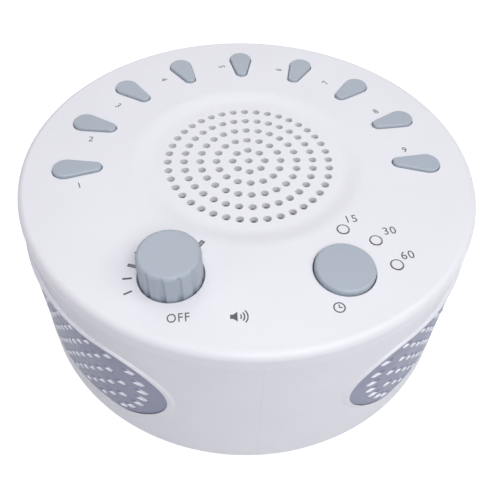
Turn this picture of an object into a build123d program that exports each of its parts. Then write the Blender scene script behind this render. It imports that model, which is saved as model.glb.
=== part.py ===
from build123d import *
import os
from math import cos, dist, hypot, radians, sin, sqrt

# A round table-top sound machine. Millimetres, +Z up, the front looks along -Y.
# The origin is on the surface it stands on, below the centre of the drum.

os.makedirs("parts", exist_ok=True)

# Sizes run from the inside out: the cells and the speaker set the height, and the
# speaker, the control ring and the rim set the width.

# ---- housing ----
foot_stand = 1.4  # gap under the side wall
rim_height = 6.0
rim_overhang = 0.5  # lid radius beyond the wall's top
wall_flare = 3.5  # extra radius at the wall's foot
wall = 2.0
shell = 2.2  # thickness of the lid and the base
lid_edge_radius = 2.2
rim_lip_radius = 0.4
spigot_depth = 3.5
spigot_wall = 1.6
slip_fit = 0.2  # between housing parts that slide together
seat_gap = 0.3  # between a retained moving part and its stop
base_lift = 0.6  # underside of the base above the wall's lower edge

# ---- speaker panel in the lid ----
panel_border = 1.5  # flat panel beyond the speaker's edge
panel_slope = 5.0
panel_recess = 1.2
panel_shell = 2.0
hole_pitch = 5.0
hole_border = 2.6  # last ring of holes inside the speaker's edge, at least
hole_radius = 1.15
holes_per_ring_step = 8

# ---- sound keys ----
key_count = 9
key_angle_step = 23.6
key_border = 13.8  # outer end's centre in from the lid's edge
key_length = 8.7  # between the two ends' centres
key_outer_radius = 3.8
key_inner_radius = 1.9
key_fit = 0.2
key_proud = 0.9
key_edge_radius = 0.4
key_flange_lap = 1.2
key_flange_height = 1.0
key_stem_radius = 1.5
key_stem_length = 1.0
key_stem_inset = 3.7  # stem's centre in from the outer end's centre
key_travel = 0.5

# ---- knob and timer button ----
control_border = 14.7  # controls' centre out from the panel's edge
control_rim = 19.3  # controls' centre in from the lid's edge
control_angle = 63.3  # each side of the X axis, towards the front
knob_radius = 8.1
knob_foot_radius = 8.3
knob_top_radius = 1.1
knob_proud = 8.7
knob_skirt = 1.4
knob_wall = 1.9
knob_hub_radius = 4.4
knob_hub_start = 0.6  # hub starts this far above the bushing
knob_bore_fit = 0.02
flute_count = 12
flute_radius = 0.85
flute_depth = 0.45
flute_stop = 1.0  # flutes end this far below the top
off_angle = 280.0
flute_lead = 5.3  # angle from the off position to the first flute
well_fit = 0.55
well_depth = 3.0
well_wall = 1.5
well_floor = 1.6
button_radius = 8.0
button_fit = 0.3
button_proud = 1.5
button_edge_radius = 0.7
button_flange_lap = 1.5
button_flange_height = 1.2
button_stem_radius = 2.2
button_collar_fit = 0.3
button_collar_wall = 1.4
button_collar_height = 3.0
button_travel = 0.6

# ---- volume potentiometer ----
bushing_radius = 3.5
bushing_fit = 0.1
bushing_length = 4.6
shaft_radius = 3.0
shaft_bore_fit = 0.05
shaft_flat = 0.9
shaft_height = 4.8  # above the bushing
pot_body_radius = 8.2
pot_body_height = 7.6
pot_washer_radius = 5.6
pot_washer_height = 0.5
pot_nut_flat = 10.0  # across flats
pot_nut_height = 2.0

# ---- timer lamps ----
lamp_ring_radius = 14.1
lamp_first_angle = 5.0
lamp_angle_step = 38.5
lamp_count = 3
lamp_window_radius = 1.5
lamp_window_fit = 0.25
lamp_guide_web = 1.5
lamp_guide_half_width = 2.6
lamp_guide_end = 9.0  # angle the web runs past the end lamps
lamp_guide_gap = 1.2  # rod's end above its lamp
led_radius = 1.5
led_height = 2.4

# ---- boards ----
board = 1.6
board_border = 3.0  # board beyond what it carries
key_board_drop = 6.8  # board's face below the lid's underside
key_board_lap = 5.1  # board's outer edge out from the stems
key_board_reach = 7.0  # board's inner edge in from the stems
key_board_end = 8.6  # angle past the end keys
control_board_drop = 12.8
control_board_gap = 7.5  # board's round edge in from the wall
control_board_side = 22.7  # board's ends out from the knob and the button
switch_side = 6.0
key_switch_height = 3.5
switch_bore_depth = 2.0
plunger_radius = 1.75
plunger_fit = 0.1
plunger_floor_gap = 0.75

# ---- speaker ----
speaker_radius = 28.5
speaker_lip = 3.5  # flange width
speaker_seat_width = 2.5
speaker_seat_height = 3.0
speaker_clearance = 3.9  # below the magnet
gasket = 0.6
flange = 1.2
surround = 0.4
surround_width = 3.2
surround_lap = 1.2  # glued width on the cone's rim
surround_roll = 1.4
ear_radius = 3.2
ear_reach = 1.9  # ear screws out from the speaker's edge
basket_depth = 11.0
basket_web = 1.2
basket_window_half_angle = 30.0
damper_shelf = 1.8
damper_shelf_width = 2.2
damper = 0.4
magnet_radius = 17.5
magnet_bore = 9.5
magnet_height = 8.0
plate_border = 1.5  # plates' edge in from the magnet's
basket_foot_border = 1.2  # basket's foot out from the top plate
top_plate = 2.5
yoke = 2.5
pole_radius = 6.4
voice_gap = 0.3
voice_wall = 0.4
voice_height = 9.5
voice_reach = 3.5  # coil end below the top plate's upper face
cone_wall = 0.5
cap_radius = 8.4
cap_rise = 2.2
cap_wall = 0.4
cloth = 0.3
terminal_size = (9.0, 3.0, 3.4)

# ---- side windows ----
window_below = 9.1  # wall left below and above the window
window_above = 8.9
window_end_border = 11.6  # straight edges' end in from the wall's radius
window_end = 9.0
window_lip = 0.5  # rim round the window
window_shift = 0.95  # rim's face out from the wall's, at mid height
window_tilt = 1.8  # the rim's face is this much steeper than the wall's
grille_recess = 0.25
grille = 1.3
window_floor = 1.6
window_pad_margin = 1.2
grille_fit = 0.15
grille_hole_radius = 1.1
grille_column = 4.55
grille_row = 3.7
grille_row_border = 2.75  # outer rows' centres in from the window's edge, at least
grille_end_step = 4.15
grille_end_clear = 2.8  # the rows' holes stay at least this far from the end file's
grille_end_spare = 0.5  # and pass the end file's curve by no more than this
grille_end_bulge = 5.6
grille_end_border = 2.0
grille_peg_radius = 0.9
grille_peg_fit = 0.1
grille_peg_steps = (2, 8)  # columns from the middle

# ---- base and battery box ----
ledge_height = 2.0
ledge_width = 3.4
post_radius = 3.2
post_inset = 8.0  # posts' centres in from the wall's radius
post_angle = 31.0
well_outer_radius = 4.8
screw_well_radius = 3.2
screw_well_height = 10.0
cell_radius = 7.15
cell_length = 49.3
cell_nub_radius = 2.7
cell_nub = 1.2
cell_gap = 0.4
cell_count = 4
cell_floor_gap = 0.6
cell_edge_radius = 0.5
box_wall = 1.6
box_ceiling_gap = 0.4
spring_length = 5.0
spring_coils = 3
spring_wire = 0.4
spring_radius = 3.4
contact = 0.4
contact_side = 11.0
door = 1.6
door_lap = 2.0
door_fit = 0.3
door_rib = 0.6
door_tab = 1.2
door_tab_width = 6.0
door_tab_reach = 1.2
door_tab_lift = 0.1
door_riser = 2.0
door_ear_radius = 5.0
door_ear_height = 2.8
door_neck = 7.0
door_boss_height = 9.0
foot_radius = 6.0
foot_height = 2.5
foot_inset = 18.0  # feet's centres in from the wall's foot
foot_edge_radius = 0.5

# ---- fasteners ----
thread_fit = 0.05
hole_fit = 0.2
base_screw_radius = 1.5
base_screw_length = 10.0
base_head_radius = 2.75
base_head_height = 2.0
small_screw_radius = 1.0
small_screw_length = 5.0
small_head_radius = 1.9
small_head_height = 1.3
boss_radius = 2.6
boss_border = 1.0
drive_slot = 0.7

# ---- power jack ----
jack_flat_reach = 0.85  # flat seat out from the wall's top
jack_flat_half = 7.5
jack_flat_border = 1.0
jack_pad = 2.6
jack_barrel_radius = 3.9
jack_bore_radius = 2.8
jack_bore_depth = 9.0
jack_pin_radius = 1.05
jack_pin_back = 1.0
jack_flange_radius = 5.0
jack_flange = 1.2
jack_nut_flat = 10.0
jack_nut_height = 2.4
jack_neck = 1.0
jack_body_side = 9.4
jack_body_length = 8.0
jack_fit = 0.1

# ---- leads and board parts ----
lead_radius = 0.6
lead_gap = 2.4
lead_bend = 1.1
lead_lift = 1.0
chip_size = (9.0, 7.0, 1.4)
capacitor_radius = 2.5
capacitor_height = 6.0
capacitor_gap = 15.0
leg_size = (0.8, 0.4)
leg_pitch = 5.0

# ---- radii, from the speaker outwards ----
speaker_bore = speaker_radius - speaker_lip
speaker_seat_inner = speaker_radius - speaker_seat_width
cloth_radius = speaker_seat_inner - slip_fit
cone_outer = speaker_bore - surround_width
ear_centre = speaker_radius + ear_reach
gasket_radius = ear_centre - boss_radius - seat_gap
plate_radius = magnet_radius - plate_border
basket_foot_radius = plate_radius + basket_foot_border
voice_inner = pole_radius + voice_gap
voice_outer = voice_inner + voice_wall
plate_bore = voice_outer + voice_gap
shelf_inner = basket_foot_radius - basket_web - damper_shelf_width
hole_rings = int((speaker_radius - hole_border) / hole_pitch)
panel_radius = speaker_radius + panel_border
panel_slope_radius = panel_radius + panel_slope
panel_outer = panel_slope_radius + panel_recess
control_radius = panel_slope_radius + control_border
lid_radius = control_radius + control_rim
wall_top_radius = lid_radius - rim_overhang
wall_foot_radius = wall_top_radius + wall_flare
spigot_radius = wall_top_radius - wall - slip_fit
ledge_inner = wall_foot_radius - wall - ledge_width
key_outer_centre = lid_radius - key_border
key_inner_centre = key_outer_centre - key_length
key_switch_centre = key_outer_centre - key_stem_inset
key_board_outer = key_switch_centre + key_board_lap
key_board_inner = key_switch_centre - key_board_reach
key_board_half_angle = key_angle_step * (key_count - 1) / 2 + key_board_end
knob_x = -control_radius * cos(radians(control_angle))
button_x = -knob_x
control_y = -control_radius * sin(radians(control_angle))
well_radius = knob_foot_radius + well_fit
button_flange_radius = button_radius + button_flange_lap
collar_inner = button_flange_radius + button_collar_fit
collar_outer = collar_inner + button_collar_wall
control_board_radius = wall_top_radius - control_board_gap
control_board_half = button_x + control_board_side
post_centre = wall_top_radius - post_inset
foot_centre = wall_foot_radius - foot_inset
window_straight = wall_top_radius - window_end_border

# ---- levels, from the feet upwards ----
wall_foot_z = foot_stand
base_z = wall_foot_z + base_lift
base_top_z = base_z + shell
cell_z = base_top_z + cell_floor_gap + cell_radius
box_top_z = cell_z + cell_radius + box_ceiling_gap
yoke_z = box_top_z + box_wall + speaker_clearance
magnet_z = yoke_z + yoke
top_plate_z = magnet_z + magnet_height
basket_low_z = top_plate_z + top_plate
flange_low_z = basket_low_z + basket_depth
flange_top_z = flange_low_z + flange
lip_z = flange_top_z - surround
seat_z = flange_top_z + gasket
panel_under_z = seat_z + speaker_seat_height
panel_top_z = panel_under_z + panel_shell
top_z = panel_top_z + panel_recess
under_z = top_z - shell
seam_z = top_z - rim_height
wall_height = seam_z - wall_foot_z
damper_z = basket_low_z + damper_shelf
voice_low_z = basket_low_z - voice_reach
voice_top_z = voice_low_z + voice_height
key_board_top = under_z - key_board_drop
key_switch_top = key_board_top + key_switch_height
key_flange_top = under_z - seat_gap
key_flange_low = key_flange_top - key_flange_height
key_stem_end = key_flange_low - key_stem_length
plunger_rise = key_stem_end - key_switch_top
plunger_drop = switch_bore_depth - plunger_floor_gap
control_board_top = under_z - control_board_drop
timer_switch_top = control_board_top + key_switch_height
timer_stem_end = timer_switch_top + plunger_rise
button_top_z = top_z + button_proud
button_flange_low = key_flange_top - button_flange_height
well_floor_z = top_z - well_depth
well_under_z = well_floor_z - well_floor
nut_low_z = well_floor_z + pot_washer_height
bushing_top_z = well_floor_z + bushing_length
shaft_top_z = bushing_top_z + shaft_height
knob_top_z = top_z + knob_proud
knob_low_z = top_z - knob_skirt
pot_low_z = well_under_z - pot_body_height
lamp_guide_z = control_board_top + led_height + lamp_guide_gap
pocket_depth = grille_recess + grille
window_rear = pocket_depth + window_floor
window_half_height = (wall_height - window_below - window_above) / 2
window_z = wall_foot_z + window_below + window_half_height
grille_rows = int(2 * (window_half_height - grille_row_border) / grille_row) + 1
grille_row_shift = 0.5 * (grille_rows // 2 % 2)  # of the middle row, in columns
grille_end_reach = window_half_height - grille_end_border
grille_end_holes = grille_rows - 2
well_top_z = base_z + screw_well_height
well_seat_z = well_top_z - shell
cell_pitch = 2 * cell_radius + cell_gap
box_half_x = cell_count * cell_pitch / 2
box_half_y = (cell_length + cell_nub + spring_length + 2 * contact) / 2
door_half_x = box_half_x + door_lap
door_half_y = box_half_y + door_lap
door_top_z = base_z + door
door_tab_z = base_top_z + door_tab_lift
door_ear_z = base_z + door_ear_height
ear_y = -door_half_y - door_ear_radius
jack_z = base_top_z + ledge_height + jack_flat_half + seat_gap
jack_plane_y = wall_top_radius + jack_flat_reach
key_angles = [90 + key_angle_step * (index - (key_count - 1) / 2) for index in range(key_count)]
post_angles = (post_angle, 180 - post_angle, 180 + post_angle, 360 - post_angle)
quarter_angles = (45, 135, 225, 315)
led_angles = [lamp_first_angle + lamp_angle_step * index for index in range(lamp_count)]
cell_places = [(index - (cell_count - 1) / 2) * cell_pitch for index in range(cell_count)]

low_align = (Align.CENTER, Align.CENTER, Align.MIN)


def polar(radius, angle, x=0, y=0):
    return x + radius * cos(radians(angle)), y + radius * sin(radians(angle))


post_places = [polar(post_centre, angle) for angle in post_angles]
speaker_ear_places = [polar(ear_centre, angle) for angle in quarter_angles]
foot_places = [polar(foot_centre, angle) for angle in quarter_angles]
key_boss_places = [polar((key_board_inner + key_board_outer) / 2, 90 + key_angle_step * step)
                   for step in (-3.5, -1.5, 1.5, 3.5)]
lamp_places = [polar(lamp_ring_radius, angle, button_x, control_y) for angle in led_angles]
control_board_back = -max(y for x, y in lamp_places) - board_border
control_boss_side_x = control_board_half - boss_radius - boss_border
control_boss_side_y = -control_board_back - 2 * boss_radius
control_boss_places = [
    (0, -ear_centre - boss_radius),
    (0, -control_board_radius + boss_radius + boss_border),
    (-control_boss_side_x, control_boss_side_y),
    (control_boss_side_x, control_boss_side_y),
]
capacitor_places = [(side * capacitor_gap / 2, control_y - board_border) for side in (-1, 1)]


def disc(radius, low, high, x=0, y=0):
    return Pos(x, y, low) * Cylinder(radius, high - low, align=low_align)


def ring(outer, inner, low, high, x=0, y=0):
    return disc(outer, low, high, x, y) - disc(inner, low, high, x, y)


def frustum(low_radius, high_radius, low, high):
    return Pos(0, 0, low) * Cone(low_radius, high_radius, high - low, align=low_align)


def block(x_range, y_range, z_range):
    spans = (x_range, y_range, z_range)
    centre = [(low + high) / 2 for low, high in spans]
    return Pos(*centre) * Box(*[high - low for low, high in spans])


def slab(size, x, y, low):
    width, length, height = size
    return block((x - width / 2, x + width / 2), (y - length / 2, y + length / 2), (low, low + height))


def group(solids):
    return Compound(children=list(solids))


def wall_radius(z):
    return wall_foot_radius + (wall_top_radius - wall_foot_radius) * (z - wall_foot_z) / wall_height


def wall_cone(inset, low=wall_foot_z, high=seam_z):
    return frustum(wall_radius(low) - inset, wall_radius(high) - inset, low, high)


def teardrop(grow, angle, low, high):
    """Two circles on one radial line, joined by their outer tangents."""
    big = key_outer_radius + grow
    small = key_inner_radius + grow
    lean = (big - small) / (key_outer_centre - key_inner_centre)
    side = sqrt(1 - lean * lean)
    corners = [
        (key_inner_centre - small * lean, small * side),
        (key_outer_centre - big * lean, big * side),
        (key_outer_centre - big * lean, -big * side),
        (key_inner_centre - small * lean, -small * side),
    ]
    face = make_face(Polyline(*corners, close=True))
    face += Pos(key_outer_centre, 0) * Circle(big)
    face += Pos(key_inner_centre, 0) * Circle(small)
    return Rot(0, 0, angle) * Pos(0, 0, low) * extrude(face, high - low)


def band(outer, inner, start, span):
    """Flat sector between two radii."""
    far = CenterArc((0, 0), outer, start, span)
    near = CenterArc((0, 0), inner, start, span)
    return make_face([far, Line(far @ 1, near @ 1), near, Line(near @ 0, far @ 0)])


def hexagon(flat, height):
    return extrude(RegularPolygon(flat / 2, 6, major_radius=False), height)


def screw(radius, length, head_radius, head_height):
    """Shank up from z = 0 and a pan head below it with a cross in it."""
    head = fillet(disc(head_radius, -head_height, 0).edges().group_by(Axis.Z)[0], head_height / 3)
    arm = head_radius * 0.7
    half_slot = drive_slot / 2
    bar = block((-arm, arm), (-half_slot, half_slot), (-head_height, -head_height / 2))
    head -= bar + Rot(0, 0, 90) * bar
    return head + disc(radius, 0, length)


def small_screw_at(x, y, z):
    made = screw(small_screw_radius, small_screw_length, small_head_radius, small_head_height)
    return Pos(x, y, z) * made


def bored(body, radius, places, low, high):
    """Cut the same upright hole at every place."""
    for x, y in places:
        body -= disc(radius, low, high, x, y)
    return body


# ---------------------------------------------------------------- lid


def speaker_hole_places():
    places = [(0, 0)]
    for number in range(1, hole_rings + 1):
        count = holes_per_ring_step * number
        places += [polar(number * hole_pitch, 90 + 360 * step / count) for step in range(count)]
    return places


def top_cover():
    body = disc(lid_radius, seam_z, top_z)
    body = fillet(body.edges().group_by(Axis.Z)[-1], lid_edge_radius)
    body = fillet(body.edges().group_by(Axis.Z)[0], rim_lip_radius)
    body -= disc(spigot_radius - spigot_wall, seam_z, under_z)
    body += ring(spigot_radius, spigot_radius - spigot_wall, seam_z - spigot_depth, under_z)
    # recessed speaker panel, its seat ring and the bosses for the speaker
    body += disc(panel_outer, panel_under_z, under_z)
    body -= frustum(panel_radius, panel_slope_radius, panel_top_z, top_z)
    body += ring(speaker_radius, speaker_seat_inner, seat_z, panel_under_z)
    for x, y in speaker_ear_places:
        body += disc(boss_radius, flange_top_z, panel_under_z, x, y)
    # knob well, button opening with its collar, lamp and key openings
    body += disc(well_radius + well_wall, well_under_z, under_z, knob_x, control_y)
    body -= disc(well_radius, well_floor_z, top_z, knob_x, control_y)
    body -= disc(bushing_radius + bushing_fit, well_under_z, well_floor_z, knob_x, control_y)
    body += ring(collar_outer, collar_inner, under_z - button_collar_height, under_z, button_x, control_y)
    body -= disc(button_radius + button_fit, under_z, top_z, button_x, control_y)
    body = bored(body, lamp_window_radius + lamp_window_fit, lamp_places, panel_under_z, top_z)
    for angle in key_angles:
        body -= teardrop(key_fit, angle, under_z, top_z)
    # posts for the base screws and bosses for the two boards
    for x, y in post_places:
        body += disc(post_radius, well_top_z, under_z, x, y)
    for x, y in key_boss_places:
        body += disc(boss_radius, key_board_top, under_z, x, y)
    for x, y in control_boss_places:
        body += disc(boss_radius, control_board_top, under_z, x, y)
    post_hole = base_screw_radius + thread_fit
    body = bored(body, post_hole, post_places, well_top_z, well_top_z + base_screw_length)
    boss_hole = small_screw_radius + thread_fit
    body = bored(body, boss_hole, key_boss_places, key_board_top, key_board_top + small_screw_length)
    body = bored(body, boss_hole, control_boss_places, control_board_top,
                 control_board_top + small_screw_length)
    body = bored(body, boss_hole, speaker_ear_places, flange_top_z, flange_top_z + small_screw_length)
    holes = Sketch() + [Pos(x, y) * Circle(hole_radius) for x, y in speaker_hole_places()]
    body -= Pos(0, 0, panel_under_z) * extrude(holes, panel_shell)
    return body


def light_guide():
    """One clear moulding: a curved web under the lid and a rod for each lamp."""
    outer = lamp_ring_radius + lamp_guide_half_width
    inner = lamp_ring_radius - lamp_guide_half_width
    start = led_angles[0] - lamp_guide_end
    face = band(outer, inner, start, led_angles[-1] + lamp_guide_end - start)
    web_low = under_z - lamp_guide_web
    guide = Pos(button_x, control_y, web_low) * extrude(face, lamp_guide_web)
    guide -= disc(panel_outer + slip_fit, web_low, under_z)
    for x, y in lamp_places:
        guide += disc(lamp_window_radius, lamp_guide_z, top_z, x, y)
    return guide


# ---------------------------------------------------------------- drum


def facing_side():
    """Plane through the window's middle, looking along +X."""
    return Plane(origin=(0, 0, window_z), x_dir=(0, 1, 0), z_dir=(1, 0, 0))


def window_prism(grow):
    half_height = window_half_height + grow
    end = window_end + grow
    face = Rectangle(2 * window_straight, 2 * half_height)
    face += Pos(window_straight, 0) * Ellipse(end, half_height)
    face += Pos(-window_straight, 0) * Ellipse(end, half_height)
    return extrude(facing_side() * face, wall_foot_radius + shell)


def window_cone(inset):
    """The wall's cone moved out and tilted, so that the window's rim stands proud of the wall."""
    return Pos(window_shift, 0, window_z) * Rot(0, window_tilt, 0) * Pos(0, 0, -window_z) * wall_cone(inset)


def peg_prism(radius):
    """Pegs midway between two holes of the middle row."""
    z = grille_row * (grille_rows // 2 - (grille_rows - 1) / 2)
    places = [(side * (step + 0.5 - grille_row_shift) * grille_column, z)
              for side in (-1, 1) for step in grille_peg_steps]
    face = Sketch() + [Pos(y, z) * Circle(radius) for y, z in places]
    return extrude(facing_side() * face, lid_radius)


def jack_side(inset=0.0):
    """Plane on the flat seat of the jack, looking out of the back."""
    return Plane(origin=(0, jack_plane_y - inset, jack_z), x_dir=(1, 0, 0), z_dir=(0, 1, 0))


def side_wall():
    pad_high = seam_z - spigot_depth - slip_fit
    body = wall_cone(0) - wall_cone(wall)
    pad = (wall_cone(wall / 2, wall_foot_z, pad_high) - window_cone(window_rear)) & window_prism(window_pad_margin)
    rim = (window_cone(0) - wall_cone(wall / 2)) & window_prism(window_lip)
    pocket = window_prism(0) - window_cone(pocket_depth)
    pegs = peg_prism(grille_peg_radius + grille_peg_fit)
    for turn in (0, 180):
        body += Rot(0, 0, turn) * pad
        body += Rot(0, 0, turn) * rim
    for turn in (0, 180):
        body -= Rot(0, 0, turn) * pocket
        body -= Rot(0, 0, turn) * pegs
    ledge = ring(wall_foot_radius - wall / 2, ledge_inner, base_top_z, base_top_z + ledge_height)
    body += ledge & wall_cone(wall / 2)
    # flat seat for the power jack, thickened inside
    seat = Rectangle(2 * jack_flat_half, 2 * jack_flat_half)
    flat = Rectangle(2 * (jack_flat_half - jack_flat_border), 2 * (jack_flat_half - jack_flat_border))
    body += extrude(jack_side(jack_pad) * seat, jack_pad + wall) & wall_cone(wall / 2)
    body -= extrude(jack_side() * flat, jack_pad)
    body -= extrude(jack_side(jack_pad) * Circle(jack_barrel_radius + jack_fit), jack_pad)
    return body


def file_reach(z):
    """How far from the middle the curved end file lies at a height."""
    return window_straight + grille_end_bulge * sqrt(max(0, 1 - (z / grille_end_reach) ** 2))


def grille_places():
    """A curved file of holes round each end, and staggered rows that keep clear of it."""
    heights = [grille_end_step * (number - (grille_end_holes - 1) / 2) for number in range(grille_end_holes)]
    ends = [(side * file_reach(z), z) for z in heights for side in (-1, 1)]
    steps = int(file_reach(0) / grille_column) + 1
    places = list(ends)
    for number in range(grille_rows):
        z = grille_row * (number - (grille_rows - 1) / 2)
        for step in range(-steps, steps + 1):
            y = (step + 0.5 * (number % 2)) * grille_column
            clear = min(dist((y, z), end) for end in ends)
            if abs(y) < file_reach(z) + grille_end_spare and clear > grille_end_clear:
                places.append((y, z))
    return places


def side_grille():
    """Perforated insert that lies on the pocket's floor, with pegs through the floor."""
    plate = (window_cone(grille_recess) - window_cone(pocket_depth)) & window_prism(-grille_fit)
    holes = Sketch() + [Pos(y, z) * Circle(grille_hole_radius) for y, z in grille_places()]
    plate -= extrude(facing_side() * holes, wall_foot_radius + shell)
    pegs = peg_prism(grille_peg_radius) & (window_cone(grille_recess + grille / 2) - window_cone(window_rear))
    return plate + pegs


# ---------------------------------------------------------------- knob, button and keys


def shaft_section(radius):
    face = Circle(radius)
    face -= Pos(2 * radius - shaft_flat, 0) * Rectangle(2 * radius, 2 * radius)
    return face


def volume_knob():
    outside = frustum(knob_foot_radius, knob_radius, 0, knob_top_z - knob_low_z)
    outside = fillet(outside.edges().group_by(Axis.Z)[-1], knob_top_radius)
    height = knob_top_z - knob_low_z
    for step in range(flute_count):
        angle = off_angle + flute_lead + 360 * step / flute_count
        x, y = polar(knob_radius + flute_radius - flute_depth, angle)
        outside -= disc(flute_radius, 0, height - flute_stop, x, y)
    roof = height - knob_wall
    outside -= disc(knob_radius - knob_wall, 0, roof)
    hub_low = bushing_top_z + knob_hub_start - knob_low_z
    outside += disc(knob_hub_radius, hub_low, roof)
    bore = extrude(shaft_section(shaft_radius + knob_bore_fit), shaft_top_z - knob_low_z - hub_low)
    outside -= Pos(0, 0, hub_low) * bore
    return Pos(knob_x, control_y, knob_low_z) * outside


def potentiometer_shaft():
    low = pot_low_z + board
    flat_low = bushing_top_z + knob_hub_start / 2
    body = disc(shaft_radius, low, flat_low)
    body += Pos(0, 0, flat_low) * extrude(shaft_section(shaft_radius), shaft_top_z - flat_low)
    return Pos(knob_x, control_y) * body


def potentiometer_body():
    body = disc(pot_body_radius, pot_low_z, well_under_z)
    body += disc(bushing_radius, well_under_z, bushing_top_z)
    body -= disc(shaft_radius + shaft_bore_fit, pot_low_z + board - seat_gap, bushing_top_z)
    for step in (-1, 0, 1):
        body += slab((*leg_size, pot_low_z + leg_size[1] - control_board_top),
                     step * leg_pitch, 0, control_board_top)
    return Pos(knob_x, control_y) * body


def potentiometer_washer():
    return ring(pot_washer_radius, bushing_radius + bushing_fit, well_floor_z, nut_low_z, knob_x, control_y)


def potentiometer_nut():
    nut = hexagon(pot_nut_flat, pot_nut_height) - disc(bushing_radius + thread_fit, 0, pot_nut_height)
    return Pos(knob_x, control_y, nut_low_z) * nut


def timer_button():
    cap = disc(button_radius, button_flange_low, button_top_z)
    cap = fillet(cap.edges().group_by(Axis.Z)[-1], button_edge_radius)
    cap += disc(button_flange_radius, button_flange_low, key_flange_top)
    cap += disc(button_stem_radius, timer_stem_end, button_flange_low)
    return Pos(button_x, control_y) * cap


def sound_key(angle):
    key = teardrop(0, 0, key_flange_low, top_z + key_proud)
    key = fillet(key.edges().group_by(Axis.Z)[-1], key_edge_radius)
    key += teardrop(key_flange_lap, 0, key_flange_low, key_flange_top)
    key += disc(key_stem_radius, key_stem_end, key_flange_low, key_switch_centre)
    return Rot(0, 0, angle) * key


def switch_body(low):
    body = slab((switch_side, switch_side, key_switch_height), 0, 0, low)
    top = low + key_switch_height
    return body - disc(plunger_radius + plunger_fit, top - switch_bore_depth, top)


def plunger(top):
    return disc(plunger_radius, top - plunger_drop, top + plunger_rise)


# ---------------------------------------------------------------- boards


def key_board():
    start = 90 - key_board_half_angle
    face = band(key_board_outer, key_board_inner, start, 2 * key_board_half_angle)
    body = Pos(0, 0, key_board_top - board) * extrude(face, board)
    return bored(body, small_screw_radius + hole_fit, key_boss_places, key_board_top - board, key_board_top)


def control_board():
    low = control_board_top - board
    body = disc(control_board_radius, low, control_board_top)
    body &= block((-control_board_half, control_board_half), (-control_board_radius, -control_board_back),
                  (low, control_board_top))
    return bored(body, small_screw_radius + hole_fit, control_boss_places, low, control_board_top)


def board_parts():
    parts = [slab(chip_size, 0, control_y + board_border, control_board_top)]
    parts += [disc(capacitor_radius, control_board_top, control_board_top + capacitor_height, x, y)
              for x, y in capacitor_places]
    return group(parts)


def lamp():
    round_top = fillet(disc(led_radius, 0, led_height).edges().group_by(Axis.Z)[-1], led_radius * 0.9)
    return Pos(0, 0, control_board_top) * round_top


# ---------------------------------------------------------------- speaker


def turned(points):
    """Solid of revolution from (radius, height) corners."""
    face = make_face(Polyline(*[(radius, 0, z) for radius, z in points], close=True))
    return revolve(face, Axis.Z)


def speaker_basket():
    foot = basket_foot_radius
    low = basket_low_z
    web = basket_web
    floor = low + web / 2
    shelf = damper_z
    body = turned([
        (plate_bore + web, low), (foot, low), (foot + web / 2, shelf), (speaker_bore + web, flange_low_z),
        (speaker_radius, flange_low_z), (speaker_radius, flange_top_z), (gasket_radius, flange_top_z),
        (gasket_radius, lip_z), (speaker_bore, lip_z), (speaker_bore, flange_low_z),
        (foot - web, shelf), (shelf_inner, shelf), (shelf_inner, floor), (plate_bore + web, floor),
    ])
    opening = band(speaker_bore + 2 * web, foot + web, -basket_window_half_angle, 2 * basket_window_half_angle)
    for angle in (0, 90, 180, 270):
        body -= Rot(0, 0, angle) * Pos(0, 0, shelf + web) * extrude(opening, flange_low_z - shelf - 2 * web)
    for x, y in speaker_ear_places:
        ear = disc(ear_radius, flange_low_z, flange_top_z, x, y)
        body += ear - disc(gasket_radius, flange_low_z, flange_top_z)
    body = bored(body, small_screw_radius + hole_fit, speaker_ear_places, flange_low_z, flange_top_z)
    body += slab(terminal_size, 0, -foot - terminal_size[1] / 2 + web / 2, low)
    return body


def speaker_surround():
    inner_lip = cone_outer - surround_lap
    outer_lip = gasket_radius
    top_z_lip = lip_z + surround
    inner, outer = cone_outer, speaker_bore
    middle = (inner + outer) / 2
    over = ThreePointArc((inner, 0, top_z_lip), (middle, 0, top_z_lip + surround_roll), (outer, 0, top_z_lip))
    under = ThreePointArc((outer - surround, 0, lip_z), (middle, 0, lip_z + surround_roll),
                          (inner + surround, 0, lip_z))
    lines = [
        Line((inner_lip, 0, lip_z), (inner_lip, 0, top_z_lip)),
        Line((inner_lip, 0, top_z_lip), (inner, 0, top_z_lip)),
        over,
        Line((outer, 0, top_z_lip), (outer_lip, 0, top_z_lip)),
        Line((outer_lip, 0, top_z_lip), (outer_lip, 0, lip_z)),
        Line((outer_lip, 0, lip_z), (outer - surround, 0, lip_z)),
        under,
        Line((inner + surround, 0, lip_z), (inner_lip, 0, lip_z)),
    ]
    return revolve(make_face(lines), Axis.Z)


def speaker_cone():
    rim = cone_outer - surround_lap
    neck_z = voice_top_z - cone_wall
    return turned([
        (voice_outer, neck_z - cone_wall), (voice_outer, neck_z),
        (rim, lip_z), (cone_outer, lip_z), (cone_outer, lip_z - cone_wall), (rim, lip_z - cone_wall - surround),
    ])


def cone_top_at(radius):
    """Height of the cone's front face at a radius."""
    rim = cone_outer - surround_lap
    neck_z = voice_top_z - cone_wall
    return neck_z + (lip_z - neck_z) * (radius - voice_outer) / (rim - voice_outer)


def speaker_dust_cap():
    edge = cone_top_at(cap_radius)
    outer = ThreePointArc((-cap_radius, 0, edge), (0, 0, edge + cap_rise), (cap_radius, 0, edge))
    inner_radius = cap_radius - cap_wall
    inner = ThreePointArc((-inner_radius, 0, edge), (0, 0, edge + cap_rise - cap_wall), (inner_radius, 0, edge))
    right_outer = outer.trim(0.5, 1)
    right_inner = inner.trim(0.5, 1)
    lines = [
        right_outer, right_inner,
        Line(right_outer @ 0, right_inner @ 0),
        Line(right_outer @ 1, right_inner @ 1),
    ]
    return revolve(make_face(lines), Axis.Z)


def speaker_gasket():
    return ring(gasket_radius, speaker_seat_inner, flange_top_z, seat_z)


def speaker_yoke():
    body = disc(plate_radius, yoke_z, magnet_z)
    return body + disc(pole_radius, magnet_z, basket_low_z)


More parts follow.
